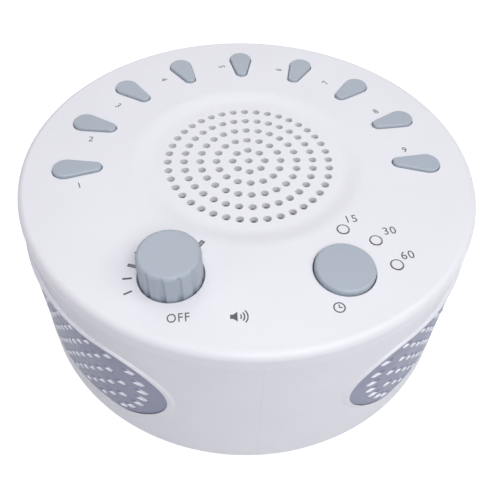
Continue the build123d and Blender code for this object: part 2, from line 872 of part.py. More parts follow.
# ---------------------------------------------------------------- base


def base_plate():
    body = disc(wall_radius(base_top_z) - wall - slip_fit, base_z, base_top_z)
    for x, y in post_places:
        body += disc(well_outer_radius, base_z, well_top_z, x, y)
    body = bored(body, screw_well_radius, post_places, base_z, well_seat_z)
    body = bored(body, base_screw_radius + hole_fit, post_places, well_seat_z, well_top_z)
    # battery box, open below, with a rebate for its door
    outer_x = box_half_x + box_wall
    outer_y = box_half_y + box_wall
    body += block((-outer_x, outer_x), (-outer_y, outer_y), (base_z, box_top_z + box_wall))
    ear_outer = door_ear_radius + door_fit + box_wall
    body += disc(ear_outer, base_z, base_z + door_boss_height, 0, ear_y)
    body -= block((-box_half_x, box_half_x), (-box_half_y, box_half_y), (base_z, box_top_z))
    rebate_x = door_half_x + door_fit
    rebate_y = door_half_y + door_fit
    body -= block((-rebate_x, rebate_x), (-rebate_y, rebate_y), (base_z, door_top_z))
    half_neck = door_neck / 2 + door_fit
    body -= block((-half_neck, half_neck), (ear_y, -door_half_y), (base_z, door_top_z))
    body -= disc(door_ear_radius + door_fit, base_z, door_ear_z, 0, ear_y)
    body -= disc(small_screw_radius + thread_fit, door_ear_z, door_top_z + small_screw_length, 0, ear_y)
    half_slot = door_tab_width / 2 + door_fit
    for x in (-cell_pitch, cell_pitch):
        body -= block((x - half_slot, x + half_slot), (box_half_y, outer_y),
                      (base_top_z, door_tab_z + door_tab + door_fit))
    for x in (cell_places[0], cell_places[-1]):
        body -= Pos(x, -box_half_y - box_wall / 2, cell_z) * Rot(90, 0, 0) * Cylinder(lead_radius + hole_fit, box_wall)
    for x, y in foot_places:
        body -= disc(foot_radius + hole_fit, base_z, foot_height, x, y)
    return body


def battery_door():
    body = block((-door_half_x, door_half_x), (-door_half_y, door_half_y), (base_z, door_top_z))
    inner_x = box_half_x - door_fit
    inner_y = box_half_y - door_fit
    body += block((-inner_x, inner_x), (-inner_y, inner_y), (door_top_z, door_top_z + door_rib))
    half_tab = door_tab_width / 2
    tab_top = door_tab_z + door_tab
    for x in (-cell_pitch, cell_pitch):
        sides = (x - half_tab, x + half_tab)
        body += block(sides, (inner_y - door_riser, inner_y), (door_top_z, tab_top))
        body += block(sides, (inner_y - door_riser, box_half_y + door_tab_reach), (door_tab_z, tab_top))
    body += disc(door_ear_radius, base_z, door_ear_z, 0, ear_y)
    body += block((-door_neck / 2, door_neck / 2), (ear_y, -door_half_y + door_lap), (base_z, door_top_z))
    body -= disc(small_head_radius + 2 * hole_fit, base_z, door_top_z, 0, ear_y)
    body -= disc(small_screw_radius + hole_fit, door_top_z, door_ear_z, 0, ear_y)
    return body


def battery_cell():
    """One cell along +Y, from y = 0 to the end of its nub."""
    can = Cylinder(cell_radius, cell_length, align=low_align)
    can = fillet(can.edges(), cell_edge_radius)
    can += Pos(0, 0, cell_length) * Cylinder(cell_nub_radius, cell_nub, align=low_align)
    return Rot(-90, 0, 0) * can


def battery_spring():
    """Coil along +Y that fills the space between contact and cell."""
    height = spring_length - 2 * spring_wire
    path = Helix(pitch=height / spring_coils, height=height, radius=spring_radius)
    coil = sweep(Plane(origin=path @ 0, z_dir=path % 0) * Circle(spring_wire), path=path)
    return Rot(-90, 0, 0) * Pos(0, 0, spring_wire) * coil


def cell_ways():
    """Each cell's X place and the end its nub points to."""
    return [(x, 1 if index % 2 else -1) for index, x in enumerate(cell_places)]


def in_battery_box(solid, offset):
    """Copies of a solid made along +Y, turned with each cell."""
    start = -box_half_y + contact + offset
    return group(Pos(x, 0, cell_z) * Rot(0, 0, 0 if way > 0 else 180) * Pos(0, start, 0) * solid
                 for x, way in cell_ways())


def battery_contacts():
    plates = []
    for x in cell_places:
        for y in (-box_half_y + contact / 2, box_half_y - contact / 2):
            plates.append(Pos(x, y, cell_z) * Box(contact_side, contact, contact_side))
    return group(plates)


def rubber_foot():
    foot = disc(foot_radius, 0, foot_height)
    return fillet(foot.edges().group_by(Axis.Z)[0], foot_edge_radius)


# ---------------------------------------------------------------- power jack and leads


def power_jack():
    inner = jack_pad + jack_nut_height + jack_neck
    body = extrude(jack_side(inner) * Circle(jack_barrel_radius), inner)
    body += extrude(jack_side() * Circle(jack_flange_radius), jack_flange)
    rear = inner + jack_body_length
    body += extrude(jack_side(rear) * Rectangle(jack_body_side, jack_body_side), jack_body_length)
    bore_low = jack_bore_depth - jack_flange
    body -= extrude(jack_side(bore_low) * Circle(jack_bore_radius), jack_bore_depth)
    body += extrude(jack_side(bore_low) * Circle(jack_pin_radius), jack_bore_depth - jack_pin_back)
    return body


def power_jack_nut():
    face = RegularPolygon(jack_nut_flat / 2, 6, major_radius=False)
    face -= Circle(jack_barrel_radius + thread_fit)
    return extrude(jack_side(jack_pad + jack_nut_height) * face, jack_nut_height)


def lead(start, end, *stops):
    """Round lead in the upright plane through two points; stops are (distance, height)."""
    run = Vector(end[0] - start[0], end[1] - start[1], 0)
    across = run.cross(Vector(0, 0, 1))
    plane = Plane(origin=(start[0], start[1], 0), x_dir=run, z_dir=across)
    corners = [(0, start[2]), *stops, (run.length, end[2])]
    path = plane * FilletPolyline(*corners, radius=lead_bend)
    return sweep(Plane(origin=path @ 0, z_dir=path % 0) * Circle(lead_radius), path=path)


def leads():
    """Power to the board, the board to the speaker, the keys and the cells."""
    made = []
    lead_board_y = control_y
    lead_speaker_y = -control_board_back - boss_radius
    board_low = control_board_top - board
    over_box = box_top_z + box_wall + lead_radius + lead_lift
    jack_rear = jack_plane_y - jack_pad - jack_nut_height - jack_neck - jack_body_length
    back = jack_rear - box_half_y - box_wall
    terminal_y = -basket_foot_radius - terminal_size[1] + basket_web / 2
    terminal_z = basket_low_z + lead_gap / 2
    for side in (-lead_gap / 2, lead_gap / 2):
        made.append(lead((side, jack_rear, jack_z), (side, lead_board_y, board_low),
                         (back * 0.4, jack_z), (back, over_box), (jack_rear - lead_board_y, over_box)))
        made.append(lead((side, terminal_y, terminal_z), (side, lead_speaker_y, board_low),
                         (2 * lead_gap, terminal_z), (2 * lead_gap, terminal_z - 2 * lead_gap),
                         (terminal_y - lead_speaker_y, terminal_z - 2 * lead_gap)))
    for x in (cell_places[0], cell_places[-1]):
        turn = box_wall + 3 * lead_bend
        made.append(lead((x, -box_half_y, cell_z), (x, -box_half_y - turn, board_low), (turn, cell_z)))
    for step in range(4):
        x, y = polar(key_board_inner + lead_gap * (step + 1), 90 + key_board_half_angle - 3)
        end = (knob_x - lead_gap * (step + 2), lead_speaker_y, control_board_top)
        low = key_board_top - board - 3
        span = hypot(end[0] - x, end[1] - y)
        made.append(lead((x, y, key_board_top - board), end, (0, low), (span, low)))
    return group(made)


# ---------------------------------------------------------------- export


def save(node, solid):
    export_step(solid, f"parts/{node}.step")


save("top_cover", top_cover())
save("side_wall", side_wall())
right_grille = side_grille()
save("side_grille_right", right_grille)
save("side_grille_left", Rot(0, 0, 180) * right_grille)
save("light_guide", light_guide())
for number, angle in enumerate(reversed(key_angles), 1):
    save(f"sound_key_{number}", sound_key(angle))
    x, y = polar(key_switch_centre, angle)
    save(f"sound_switch_plunger_{number}", Pos(x, y) * plunger(key_switch_top))
save("volume_knob", volume_knob())
save("potentiometer_shaft", potentiometer_shaft())
save("potentiometer_body", potentiometer_body())
save("potentiometer_washer", potentiometer_washer())
save("potentiometer_nut", potentiometer_nut())
save("timer_button", timer_button())
save("timer_switch_plunger", Pos(button_x, control_y) * plunger(timer_switch_top))
save("timer_switch_body", Pos(button_x, control_y) * switch_body(control_board_top))
save("sound_switch_bodies", group(
    Rot(0, 0, angle) * Pos(key_switch_centre, 0) * switch_body(key_board_top) for angle in key_angles))
save("key_board", key_board())
save("control_board", control_board())
save("board_parts", board_parts())
save("lamps", group(Pos(x, y) * lamp() for x, y in lamp_places))
save("small_screws", group(
    [small_screw_at(x, y, key_board_top - board) for x, y in key_boss_places]
    + [small_screw_at(x, y, control_board_top - board) for x, y in control_boss_places]
    + [small_screw_at(x, y, flange_low_z) for x, y in speaker_ear_places]
    + [small_screw_at(0, ear_y, door_top_z)]))
save("speaker_basket", speaker_basket())
save("speaker_gasket", speaker_gasket())
save("speaker_surround", speaker_surround())
save("speaker_cone", speaker_cone())
save("speaker_dust_cap", speaker_dust_cap())
save("voice_coil", ring(voice_outer, voice_inner, voice_low_z, voice_top_z))
save("speaker_damper", ring(shelf_inner + damper_shelf_width, voice_outer, damper_z, damper_z + damper))
save("speaker_top_plate", ring(plate_radius, plate_bore, top_plate_z, basket_low_z))
save("speaker_magnet", ring(magnet_radius, magnet_bore, magnet_z, top_plate_z))
save("speaker_yoke", speaker_yoke())
save("speaker_cloth", disc(cloth_radius, panel_under_z - cloth, panel_under_z))
save("base_plate", base_plate())
base_screw = screw(base_screw_radius, base_screw_length, base_head_radius, base_head_height)
save("base_screws", group(Pos(x, y, well_seat_z) * base_screw for x, y in post_places))
save("battery_door", battery_door())
save("battery_cells", in_battery_box(battery_cell(), spring_length))
save("battery_springs", in_battery_box(battery_spring(), 0))
save("battery_contacts", battery_contacts())
save("rubber_feet", group(Pos(x, y) * rubber_foot() for x, y in foot_places))
save("power_jack", power_jack())
save("power_jack_nut", power_jack_nut())
save("leads", leads())
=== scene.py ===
import itertools
import math
from functools import partial
import bpy
import numpy as np
from mathutils import Matrix, Vector
from mathutils.geometry import delaunay_2d_cdt


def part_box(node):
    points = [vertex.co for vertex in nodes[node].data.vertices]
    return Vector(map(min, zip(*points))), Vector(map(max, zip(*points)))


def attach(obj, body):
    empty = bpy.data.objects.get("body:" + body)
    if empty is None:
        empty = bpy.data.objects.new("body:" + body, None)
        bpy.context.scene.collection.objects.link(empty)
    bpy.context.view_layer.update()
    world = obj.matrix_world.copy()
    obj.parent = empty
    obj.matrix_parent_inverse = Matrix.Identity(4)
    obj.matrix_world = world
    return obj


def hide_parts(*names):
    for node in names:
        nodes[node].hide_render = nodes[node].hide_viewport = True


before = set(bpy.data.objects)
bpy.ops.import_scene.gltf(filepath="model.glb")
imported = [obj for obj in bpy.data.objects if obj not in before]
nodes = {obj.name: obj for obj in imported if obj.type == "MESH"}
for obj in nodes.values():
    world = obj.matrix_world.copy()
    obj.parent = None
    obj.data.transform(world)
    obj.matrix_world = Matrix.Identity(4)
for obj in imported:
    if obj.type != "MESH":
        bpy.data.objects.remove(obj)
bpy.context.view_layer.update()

# Sizes are in millimetres; meshes are written in metres.
mm = 0.001
scene = bpy.context.scene


def nodeBox(name):
    low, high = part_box(name)
    return [value / mm for value in low], [value / mm for value in high]


camera = {
    "place": (-10.6366, -126.5662, 166.1017),
    "turn": (39.8953, -1.5301, -3.104),
    "lens": 39.0851,
    "sensor": 36.0,
}


def addCamera():
    lens = bpy.data.cameras.new("camera")
    lens.lens = camera["lens"]
    lens.sensor_width = camera["sensor"]
    lens.clip_start = 0.01
    eye = bpy.data.objects.new("camera", lens)
    eye.location = [value * mm for value in camera["place"]]
    eye.rotation_euler = [math.radians(value) for value in camera["turn"]]
    scene.collection.objects.link(eye)
    scene.camera = eye


addCamera()
print("camera placed")


def addNode(tree, kind, inputs=None, **settings):
    node = tree.nodes.new(kind)
    for key, value in settings.items():
        setattr(node, key, value)
    for key, value in (inputs or {}).items():
        if isinstance(value, bpy.types.NodeSocket):
            tree.links.new(value, node.inputs[key])
        else:
            node.inputs[key].default_value = value
    return node


def calc(tree, operation, *values):
    node = addNode(tree, "ShaderNodeMath", dict(enumerate(values)), operation=operation)
    return node.outputs[0]


def newTree(name, sockets):
    tree = bpy.data.node_groups.new(name, "GeometryNodeTree")
    tree.interface.new_socket("Geometry", in_out="INPUT", socket_type="NodeSocketGeometry")
    for label, kind in sockets.items():
        tree.interface.new_socket(label, in_out="INPUT", socket_type="NodeSocket" + kind)
    tree.interface.new_socket("Geometry", in_out="OUTPUT", socket_type="NodeSocketGeometry")
    return tree, tree.nodes.new("NodeGroupInput").outputs


def endTree(tree, geometry, material):
    # realize, give the material and put the result out
    real = addNode(tree, "GeometryNodeRealizeInstances", {"Geometry": geometry}).outputs[0]
    dressed = addNode(tree, "GeometryNodeSetMaterial", {"Geometry": real, "Material": material}).outputs[0]
    addNode(tree, "NodeGroupOutput", {"Geometry": dressed})


def runTree(tree, mesh, values):
    # plain mesh that the tree makes from a mesh
    carrier = bpy.data.objects.new("carrier", mesh)
    scene.collection.objects.link(carrier)
    modifier = carrier.modifiers.new("shape", "NODES")
    modifier.node_group = tree
    for item in tree.interface.items_tree:
        if item.in_out == "INPUT" and item.name in values:
            modifier[item.identifier] = values[item.name]
    graph = bpy.context.evaluated_depsgraph_get()
    made = bpy.data.meshes.new_from_object(carrier.evaluated_get(graph))
    carrier.modifiers.remove(modifier)
    bpy.data.objects.remove(carrier)
    return made


lumpRange = (0.3, 0.7)


def newFinish(name, **constants):
    material = bpy.data.materials.new(name)
    material.use_nodes = True
    tree = material.node_tree
    shader = tree.nodes["Principled BSDF"]
    for label, value in constants.items():
        shader.inputs[label.replace("_", " ")].default_value = value
    place = addNode(tree, "ShaderNodeTexCoord").outputs["Object"]
    return material, tree, shader, place


def noiseAt(tree, place, size, detail=2.0, stretch=None):
    # noise whose largest lumps are about size millimetres across
    if stretch:
        place = addNode(tree, "ShaderNodeMapping", {"Vector": place, "Scale": stretch}).outputs[0]
    wanted = {"Vector": place, "Scale": 1 / (size * mm), "Detail": detail}
    return addNode(tree, "ShaderNodeTexNoise", wanted).outputs[0]


def rangeOf(tree, value, low, high, newLow=0.0, newHigh=1.0):
    return addNode(tree, "ShaderNodeMapRange", {0: value, 1: low, 2: high, 3: newLow, 4: newHigh}).outputs[0]


def blendColours(tree, share, first, second):
    node = addNode(tree, "ShaderNodeMix", {0: share, 6: first, 7: second}, data_type="RGBA")
    return node.outputs[2]


def spread(tree, noise, low=0.0, high=1.0):
    # most of the noise lies within its lump range
    return rangeOf(tree, noise, *lumpRange, low, high)


def varied(tree, noise, colour, less, more):
    # the colour, lighter and darker with the noise
    return blendColours(tree, spread(tree, noise), shade(colour, less), shade(colour, more))


def dress(tree, shader, tone, height, depth, strength=1.0, roughness=None):
    # give the shader its colour, its bump and, where it varies, its roughness
    tree.links.new(tone, shader.inputs["Base Color"])
    if roughness:
        tree.links.new(roughness, shader.inputs["Roughness"])
    bump = addNode(tree, "ShaderNodeBump", {"Height": height, "Strength": strength, "Distance": depth * mm})
    tree.links.new(bump.outputs[0], shader.inputs["Normal"])


def shade(colour, share):
    return tuple(channel * share for channel in colour[:3]) + (1.0,)


def mouldedPlastic(name, colour, roughness=0.4, grain=0.25, depth=0.008, mottle=0.03, specks=0.0, seam=0.0,
                   core=None, **constants):
    # injection-moulded plastic: faint mottling, etched grain, rare dust specks and a mould line in front
    material, tree, shader, place = newFinish(name, **constants)
    tone = varied(tree, noiseAt(tree, place, 22.0, 3.0), colour, 1 - mottle, 1 + mottle)
    if specks:
        dust = noiseAt(tree, place, 1.6, 0.0)
        mask = rangeOf(tree, dust, 0.875, 0.89)
        tone = blendColours(tree, calc(tree, "MULTIPLY", mask, specks), tone, shade(colour, 0.45))
    if seam:
        split = addNode(tree, "ShaderNodeSeparateXYZ", {"Vector": place}).outputs
        line = rangeOf(tree, calc(tree, "ABSOLUTE", split["X"]), 0.00022, 0.00006)
        line = calc(tree, "MULTIPLY", line, calc(tree, "LESS_THAN", split["Y"], 0.0))
        tone = blendColours(tree, calc(tree, "MULTIPLY", line, seam), tone, shade(colour, 0.6))
    if core:
        # faces that the mesh marks have a colour of their own
        marked = addNode(tree, "ShaderNodeAttribute", attribute_name="core").outputs["Fac"]
        tone = blendColours(tree, marked, tone, core)
    sheen = spread(tree, noiseAt(tree, place, 6.0, 4.0), roughness - 0.04, roughness + 0.05)
    dress(tree, shader, tone, noiseAt(tree, place, grain, 3.0), depth, roughness=sheen)
    return material


def brushedMetal(name, colour, roughness=0.3, stretch=(1, 1, 12)):
    material, tree, shader, place = newFinish(name, Metallic=1.0)
    lines = noiseAt(tree, place, 1.5, 4.0, stretch)
    tone = varied(tree, lines, colour, 0.82, 1.05)
    sheen = spread(tree, lines, roughness - 0.08, roughness + 0.12)
    dress(tree, shader, tone, lines, 0.01, 0.6, sheen)
    return material


def roughSolid(name, colour, roughness, grain, depth, variation):
    # matt stuff such as ferrite, rubber or paper
    material, tree, shader, place = newFinish(name, Roughness=roughness)
    lumps = noiseAt(tree, place, grain, 5.0)
    dress(tree, shader, varied(tree, lumps, colour, 1 - variation, 1 + variation), lumps, depth)
    return material


def circuitBoard(name):
    # solder mask with copper tracks that show through and pale pads
    material, tree, shader, place = newFinish(name, Roughness=0.35)
    tracks = addNode(tree, "ShaderNodeTexBrick", {
        "Vector": place, "Scale": 260.0, "Mortar Size": 0.06, "Brick Width": 1.4, "Row Height": 0.5,
    }).outputs["Fac"]
    mask = blendColours(tree, tracks, (0.012, 0.09, 0.035, 1), (0.03, 0.2, 0.07, 1))
    pads = addNode(tree, "ShaderNodeTexVoronoi", {"Vector": place, "Scale": 330.0}).outputs["Distance"]
    tone = blendColours(tree, rangeOf(tree, pads, 0.16, 0.13), mask, (0.62, 0.6, 0.55, 1))
    dress(tree, shader, tone, tracks, 0.04)
    return material


def wovenCloth(name, colour):
    # two crossed sets of threads
    material, tree, shader, place = newFinish(name, Roughness=0.85)
    wave = {"Vector": place, "Scale": 420.0, "Distortion": 0.6, "Detail": 2.0}
    threads = [addNode(tree, "ShaderNodeTexWave", wave, bands_direction=way).outputs["Fac"] for way in "XY"]
    weave = calc(tree, "MAXIMUM", *threads)
    tone = blendColours(tree, weave, shade(colour, 0.35), colour)
    dress(tree, shader, tone, weave, 0.1)
    return material


def woundWire(name, colour):
    material, tree, shader, place = newFinish(name, Metallic=1.0, Roughness=0.35)
    turns = addNode(tree, "ShaderNodeTexWave", {
        "Vector": place, "Scale": 800.0, "Distortion": 0.3}, bands_direction="Z").outputs["Fac"]
    dress(tree, shader, blendColours(tree, turns, shade(colour, 0.4), colour), turns, 0.08)
    return material


def cellSleeve(name):
    # printed shrink sleeve: dark with a copper-coloured end band
    material, tree, shader, place = newFinish(name, Roughness=0.25, Coat_Weight=0.4)
    split = addNode(tree, "ShaderNodeSeparateXYZ", {"Vector": place}).outputs
    band = rangeOf(tree, calc(tree, "ABSOLUTE", split["Y"]), 0.0162, 0.0166)
    tone = blendColours(tree, band, (0.02, 0.022, 0.026, 1), (0.55, 0.32, 0.12, 1))
    dress(tree, shader, tone, noiseAt(tree, place, 3.0, 3.0, (1, 0.2, 1)), 0.03)
    return material


def leadSleeve(name):
    # red and black sleeves, split along X
    material, tree, shader, place = newFinish(name, Roughness=0.42)
    split = addNode(tree, "ShaderNodeSeparateXYZ", {"Vector": place}).outputs
    side = calc(tree, "GREATER_THAN", split["X"], 0.0)
    tone = blendColours(tree, side, (0.015, 0.015, 0.018, 1), (0.45, 0.02, 0.02, 1))
    dress(tree, shader, tone, noiseAt(tree, place, 0.8, 3.0), 0.02)
    return material


whitePlastic = (0.80, 0.80, 0.84, 1.0)
greyPlastic = (0.405, 0.455, 0.515, 1.0)
finishes = {
    "lid": mouldedPlastic("lidPlastic", whitePlastic, 0.42, 0.3, 0.002, 0.01),
    "wall": mouldedPlastic("wallPlastic", shade(whitePlastic, 0.98), 0.5, 0.5, 0.012, 0.015, 0.2, 0.12),
    "base": mouldedPlastic("basePlastic", shade(whitePlastic, 0.94), 0.5, 0.5, 0.02, 0.02),
    "control": mouldedPlastic("controlPlastic", greyPlastic, 0.36, 0.3, 0.003, 0.02),
    "grille": mouldedPlastic("grillePlastic", (0.27, 0.285, 0.385, 1), 0.45, 0.5, 0.012, 0.05,
                             core=(0.86, 0.87, 0.92, 1), Specular_IOR_Level=0.3),
    "lens": mouldedPlastic("lensPlastic", whitePlastic, 0.22, 0.4, 0.001, 0.01, IOR=1.49),
    "black": mouldedPlastic("blackPlastic", (0.02, 0.02, 0.022, 1), 0.45, 0.3, 0.01, 0.2),
    # dark ink of the print, also used for the painted gap shadow round the lamp lenses
    "ink": mouldedPlastic("printInkAndGapShadow", (0.115, 0.115, 0.125, 1), 0.6, 0.2, 0.002, 0.12),
    "paleInk": mouldedPlastic("paleInk", (0.33, 0.33, 0.35, 1), 0.6, 0.2, 0.002, 0.1),
    "board": circuitBoard("circuitBoard"),
    "steel": brushedMetal("brightSteel", (0.62, 0.63, 0.65, 1)),
    "plated": brushedMetal("platedMetal", (0.78, 0.78, 0.8, 1), 0.22, (6, 6, 1)),
    "brass": brushedMetal("turnedBrass", (0.78, 0.57, 0.25, 1), 0.28, (1, 1, 20)),
    "rubber": roughSolid("footRubber", (0.03, 0.03, 0.032, 1), 0.8, 0.5, 0.03, 0.25),
    "ferrite": roughSolid("ferrite", (0.05, 0.05, 0.055, 1), 0.62, 1.2, 0.05, 0.3),
    "paper": roughSolid("conePaper", (0.05, 0.048, 0.045, 1), 0.9, 0.9, 0.06, 0.35),
    "cloth": wovenCloth("grilleCloth", (0.2, 0.2, 0.21, 1)),
    "copper": woundWire("copperWinding", (0.8, 0.36, 0.16, 1)),
    "cell": cellSleeve("cellSleeve"),
    "lead": leadSleeve("leadSleeve"),
}
print("finishes made")


def newSkin():
    return []


def addPatch(skin, points, normals):
    # points and normals hold (face, corner, axis); each face is turned to agree with its normals
    across = np.cross(points[:, 2] - points[:, 0], points[:, -1] - points[:, 1])
    wrong = np.einsum("ij,ij->i", across, normals.sum(1)) < 0
    points = points.copy()
    normals = np.array(normals, float)
    points[wrong] = points[wrong][:, ::-1]
    normals[wrong] = normals[wrong][:, ::-1]
    skin.append((points, normals))


def addGrid(skin, points, normals, closed=True):
    # quads between neighbouring rows and columns; closed joins the last column to the first
    grids = []
    for grid in (points, normals):
        follow = np.roll(grid, -1, axis=1)
        quads = np.stack([grid[:-1], grid[1:], follow[1:], follow[:-1]], axis=2)
        if not closed:
            quads = quads[:, :-1]
        grids.append(quads.reshape(-1, 4, 3))
    addPatch(skin, *grids)


def bendPath(corners, steps=5):
    # corners (offset, height, radius) as points and normals; the solid lies right of the way along
    spots = [np.array(corner[:2], float) for corner in corners]
    radii = [corner[2] if len(corner) > 2 else 0 for corner in corners]
    ways = [(after - before) / np.linalg.norm(after - before) for before, after in zip(spots, spots[1:])]
    lefts = [np.array((-way[1], way[0])) for way in ways]
    points, normals = [spots[0]], [lefts[0]]
    for number in range(1, len(spots) - 1):
        before, after = lefts[number - 1], lefts[number]
        if not radii[number]:
            points += [spots[number]] * 2
            normals += [before, after]
            continue
        turn = math.atan2(before[0] * after[1] - before[1] * after[0], before @ after)
        side = -1 if turn < 0 else 1
        start = spots[number] - ways[number - 1] * radii[number] * math.tan(abs(turn) / 2)
        centre = start + side * before * radii[number]
        for step in range(steps + 1):
            angle = turn * step / steps
            normal = np.array((before[0] * math.cos(angle) - before[1] * math.sin(angle),
                               before[0] * math.sin(angle) + before[1] * math.cos(angle)))
            points.append(centre - side * normal * radii[number])
            normals.append(normal)
    points.append(spots[-1])
    normals.append(lefts[-1])
    return np.array(points), np.array(normals)


def circleOutline(x=0.0, y=0.0, sides=64, start=0.0):
    angles = math.radians(start) + np.arange(sides) * 2 * math.pi / sides
    out = np.stack([np.cos(angles), np.sin(angles)], axis=1)
    return np.tile((x, y), (sides, 1)), out


def ringOf(outline, offset):
    return outline[0] + outline[1] * offset


def addLoft(skin, outline, corners, steps=5):
    # carry a path of (offset, height) corners round an outline
    spots, leans = bendPath(corners, steps)
    base, out = outline
    size = (len(spots), len(base), 1)
    grids = []
    for start, rows in ((base, spots), (0, leans)):
        heights = np.broadcast_to(rows[:, None, 1:], size)
        grids.append(np.concatenate([start + out * rows[:, None, :1], heights], axis=2))
    addGrid(skin, *grids)


def insideLoops(points, loops):
    # even-odd test
    inside = np.zeros(len(points), bool)
    for loop in loops:
        for (x1, y1), (x2, y2) in zip(loop, np.roll(loop, -1, axis=0)):
            if y1 == y2:
                continue
            crosses = (y1 > points[:, 1]) != (y2 > points[:, 1])
            inside ^= crosses & (points[:, 0] < x1 + (points[:, 1] - y1) * (x2 - x1) / (y2 - y1))
    return inside


def fillLoops(loops, extra=None):
    # triangles (face, corner, axis) between closed loops, through the extra points
    edges, count = [], 0
    for loop in loops:
        edges += [(count + number, count + (number + 1) % len(loop)) for number in range(len(loop))]
        count += len(loop)
    spots = np.concatenate(list(loops) + ([extra] if extra is not None else []))
    made = delaunay_2d_cdt([Vector(spot) for spot in spots], edges, [], 0, 1e-7)
    places = np.array([spots[origins[0]] if origins else tuple(spot)
                       for spot, origins in zip(made[0], made[3])])
    triangles = places[np.array(made[2])]
    return triangles[insideLoops(triangles.mean(axis=1), loops)]


def addFlat(skin, height, up, loops):
    flat = fillLoops(loops)
    points = np.concatenate([flat, np.full(flat.shape[:2] + (1,), height)], axis=2)
    addPatch(skin, points, np.broadcast_to((0.0, 0.0, up), points.shape))


def addMesh(skin, mesh):
    # take in a mesh made elsewhere, in millimetres, with the normals it has
    spots = np.array([vertex.co for vertex in mesh.vertices])
    corners = np.array([normal.vector for normal in mesh.corner_normals])
    sizes = {}
    for face in mesh.polygons:
        sizes.setdefault(len(face.vertices), []).append((list(face.vertices), list(face.loop_indices)))
    for group in sizes.values():
        points = spots[np.array([vertices for vertices, loops in group])]
        skin.append((points, corners[np.array([loops for vertices, loops in group])]))


def skinMesh(skin, name, unit=mm):
    # weld the patches into one mesh; doubled corners make a face smaller or drop it
    corners = np.concatenate([points.reshape(-1, 3) for points, normals in skin])
    # corners that share a cell of any of eight shifted grids are one
    labels = np.arange(len(corners))
    for shift in 2 * list(itertools.product((0, 0.5), repeat=3)):
        cells = np.floor(corners / 1e-3 + shift).astype(np.int64) + 200000
        codes = (cells[:, 0] << 40) + (cells[:, 1] << 20) + cells[:, 2]
        found = np.unique(codes, return_inverse=True)[1].ravel()
        lowest = np.full(found.max() + 1, len(corners))
        np.minimum.at(lowest, found, labels)
        labels = lowest[found]
    kept, where = np.unique(labels, return_inverse=True)
    spots = corners[kept]
    faces, leans, start = [], [], 0
    for points, normals in skin:
        count = points.shape[1]
        for lean in normals:
            ids = where[start:start + count]
            start += count
            keep = [number for number in range(count) if ids[number] != ids[number - 1]]
            if len(set(ids[keep])) < 3:
                continue
            faces.append([int(ids[number]) for number in keep])
            leans.extend(lean[number] for number in keep)
    mesh = bpy.data.meshes.new(name)
    mesh.from_pydata((spots * unit).tolist(), [], faces)
    mesh.polygons.foreach_set("use_smooth", [True] * len(faces))
    leans = np.array(leans)
    leans /= np.linalg.norm(leans, axis=1)[:, None]
    mesh.normals_split_custom_set(leans.tolist())
    return mesh


def markFaces(mesh, isMarked):
    # write one or nought to every corner, for the finish to read
    marks = mesh.color_attributes.new("core", "FLOAT_COLOR", "CORNER")
    for face, share in zip(mesh.polygons, isMarked.astype(float)):
        for corner in face.loop_indices:
            marks.data[corner].color = (share, share, share, 1.0)


def addPiece(name, mesh, finish, body, replaced=()):
    piece = bpy.data.objects.new(name, mesh)
    scene.collection.objects.link(piece)
    mesh.materials.clear()
    mesh.materials.append(finishes[finish])
    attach(piece, body)
    if replaced:
        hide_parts(*replaced)


lidHigh = nodeBox("top_cover")[1]
knobLow, knobHigh = nodeBox("volume_knob")
buttonLow, buttonHigh = nodeBox("timer_button")
knobPlace = ((knobLow[0] + knobHigh[0]) / 2, (knobLow[1] + knobHigh[1]) / 2)
buttonPlace = ((buttonLow[0] + buttonHigh[0]) / 2, (buttonLow[1] + buttonHigh[1]) / 2)

lid = {
    "radius": lidHigh[0],
    "top": lidHigh[2],
    "rimHeight": 6.0,
    "thickness": 2.2,
    "edgeRound": 2.2,
    "lipRound": 0.4,
    "spigotGap": 2.7,
    "spigotWall": 1.6,
    "spigotDepth": 3.5,
    "openingRound": 0.25,
    "sides": 300,
    "wideSides": 96,
    "narrowSides": 32,
    "narrowUpTo": 5.0,  # outer radius of the tubes with fewer sides
    "edgeMargin": 0.5,
}
lid["under"] = lid["top"] - lid["thickness"]
lid["seam"] = lid["top"] - lid["rimHeight"]
lid["spigotRadius"] = lid["radius"] - lid["spigotGap"]

panel = {
    "radius": 30.0,
    "slopeRadius": 35.0,
    "recess": 1.2,
    "thickness": 2.0,
    "bossRadius": 36.2,
    "slopeRound": 12.0,
    "flatRadius": 28.5,
    "slopeEnd": 36.5,
    "rings": 5,
    "pitch": 5.0,
    "holeRadius": 1.15,
    "holeRound": 0.22,
    "holeSides": 20,
}
panel["top"] = lid["top"] - panel["recess"]
panel["under"] = panel["top"] - panel["thickness"]

keys = {
    "count": 9,
    "step": 23.6,
    "outerCentre": 55.2,
    "innerCentre": 46.5,
    "outerRadius": 3.8,
    "innerRadius": 1.9,
    "fit": 0.2,
    "proud": 0.9,
    "edgeRound": 0.45,
    "flangeLap": 1.2,
    "flangeTop": 54.5,
    "flangeHeight": 1.0,
    "stemPlace": 51.5,
    "stemRadius": 1.5,
    "stemEnd": 52.5,
    "stemSides": 24,
    "topMargin": 0.15,
    "arcSteps": 14,
}
keys["angles"] = [90 + keys["step"] * (index - (keys["count"] - 1) / 2) for index in range(keys["count"])]

well = {
    "radius": 8.65,
    "floor": 54.0,
    "under": 52.4,
    "wall": 1.5,
    "bushing": 3.6,
}
lamps = {
    "ring": 14.1,
    "angles": (5.0, 43.5, 82.0),
    "opening": 1.75,
}
timer = {
    "radius": 8.0,
    "fit": 0.3,
    "edgeRound": 0.75,
    "flangeRadius": 9.5,
    "flangeLow": 53.3,
    "stemRadius": 2.2,
    "stemEnd": 46.5,
    "collar": (9.8, 11.2),
    "collarHeight": 3.0,
    "sides": 120,
}


def polar(radius, angle, x=0.0, y=0.0):
    return x + radius * math.cos(math.radians(angle)), y + radius * math.sin(math.radians(angle))


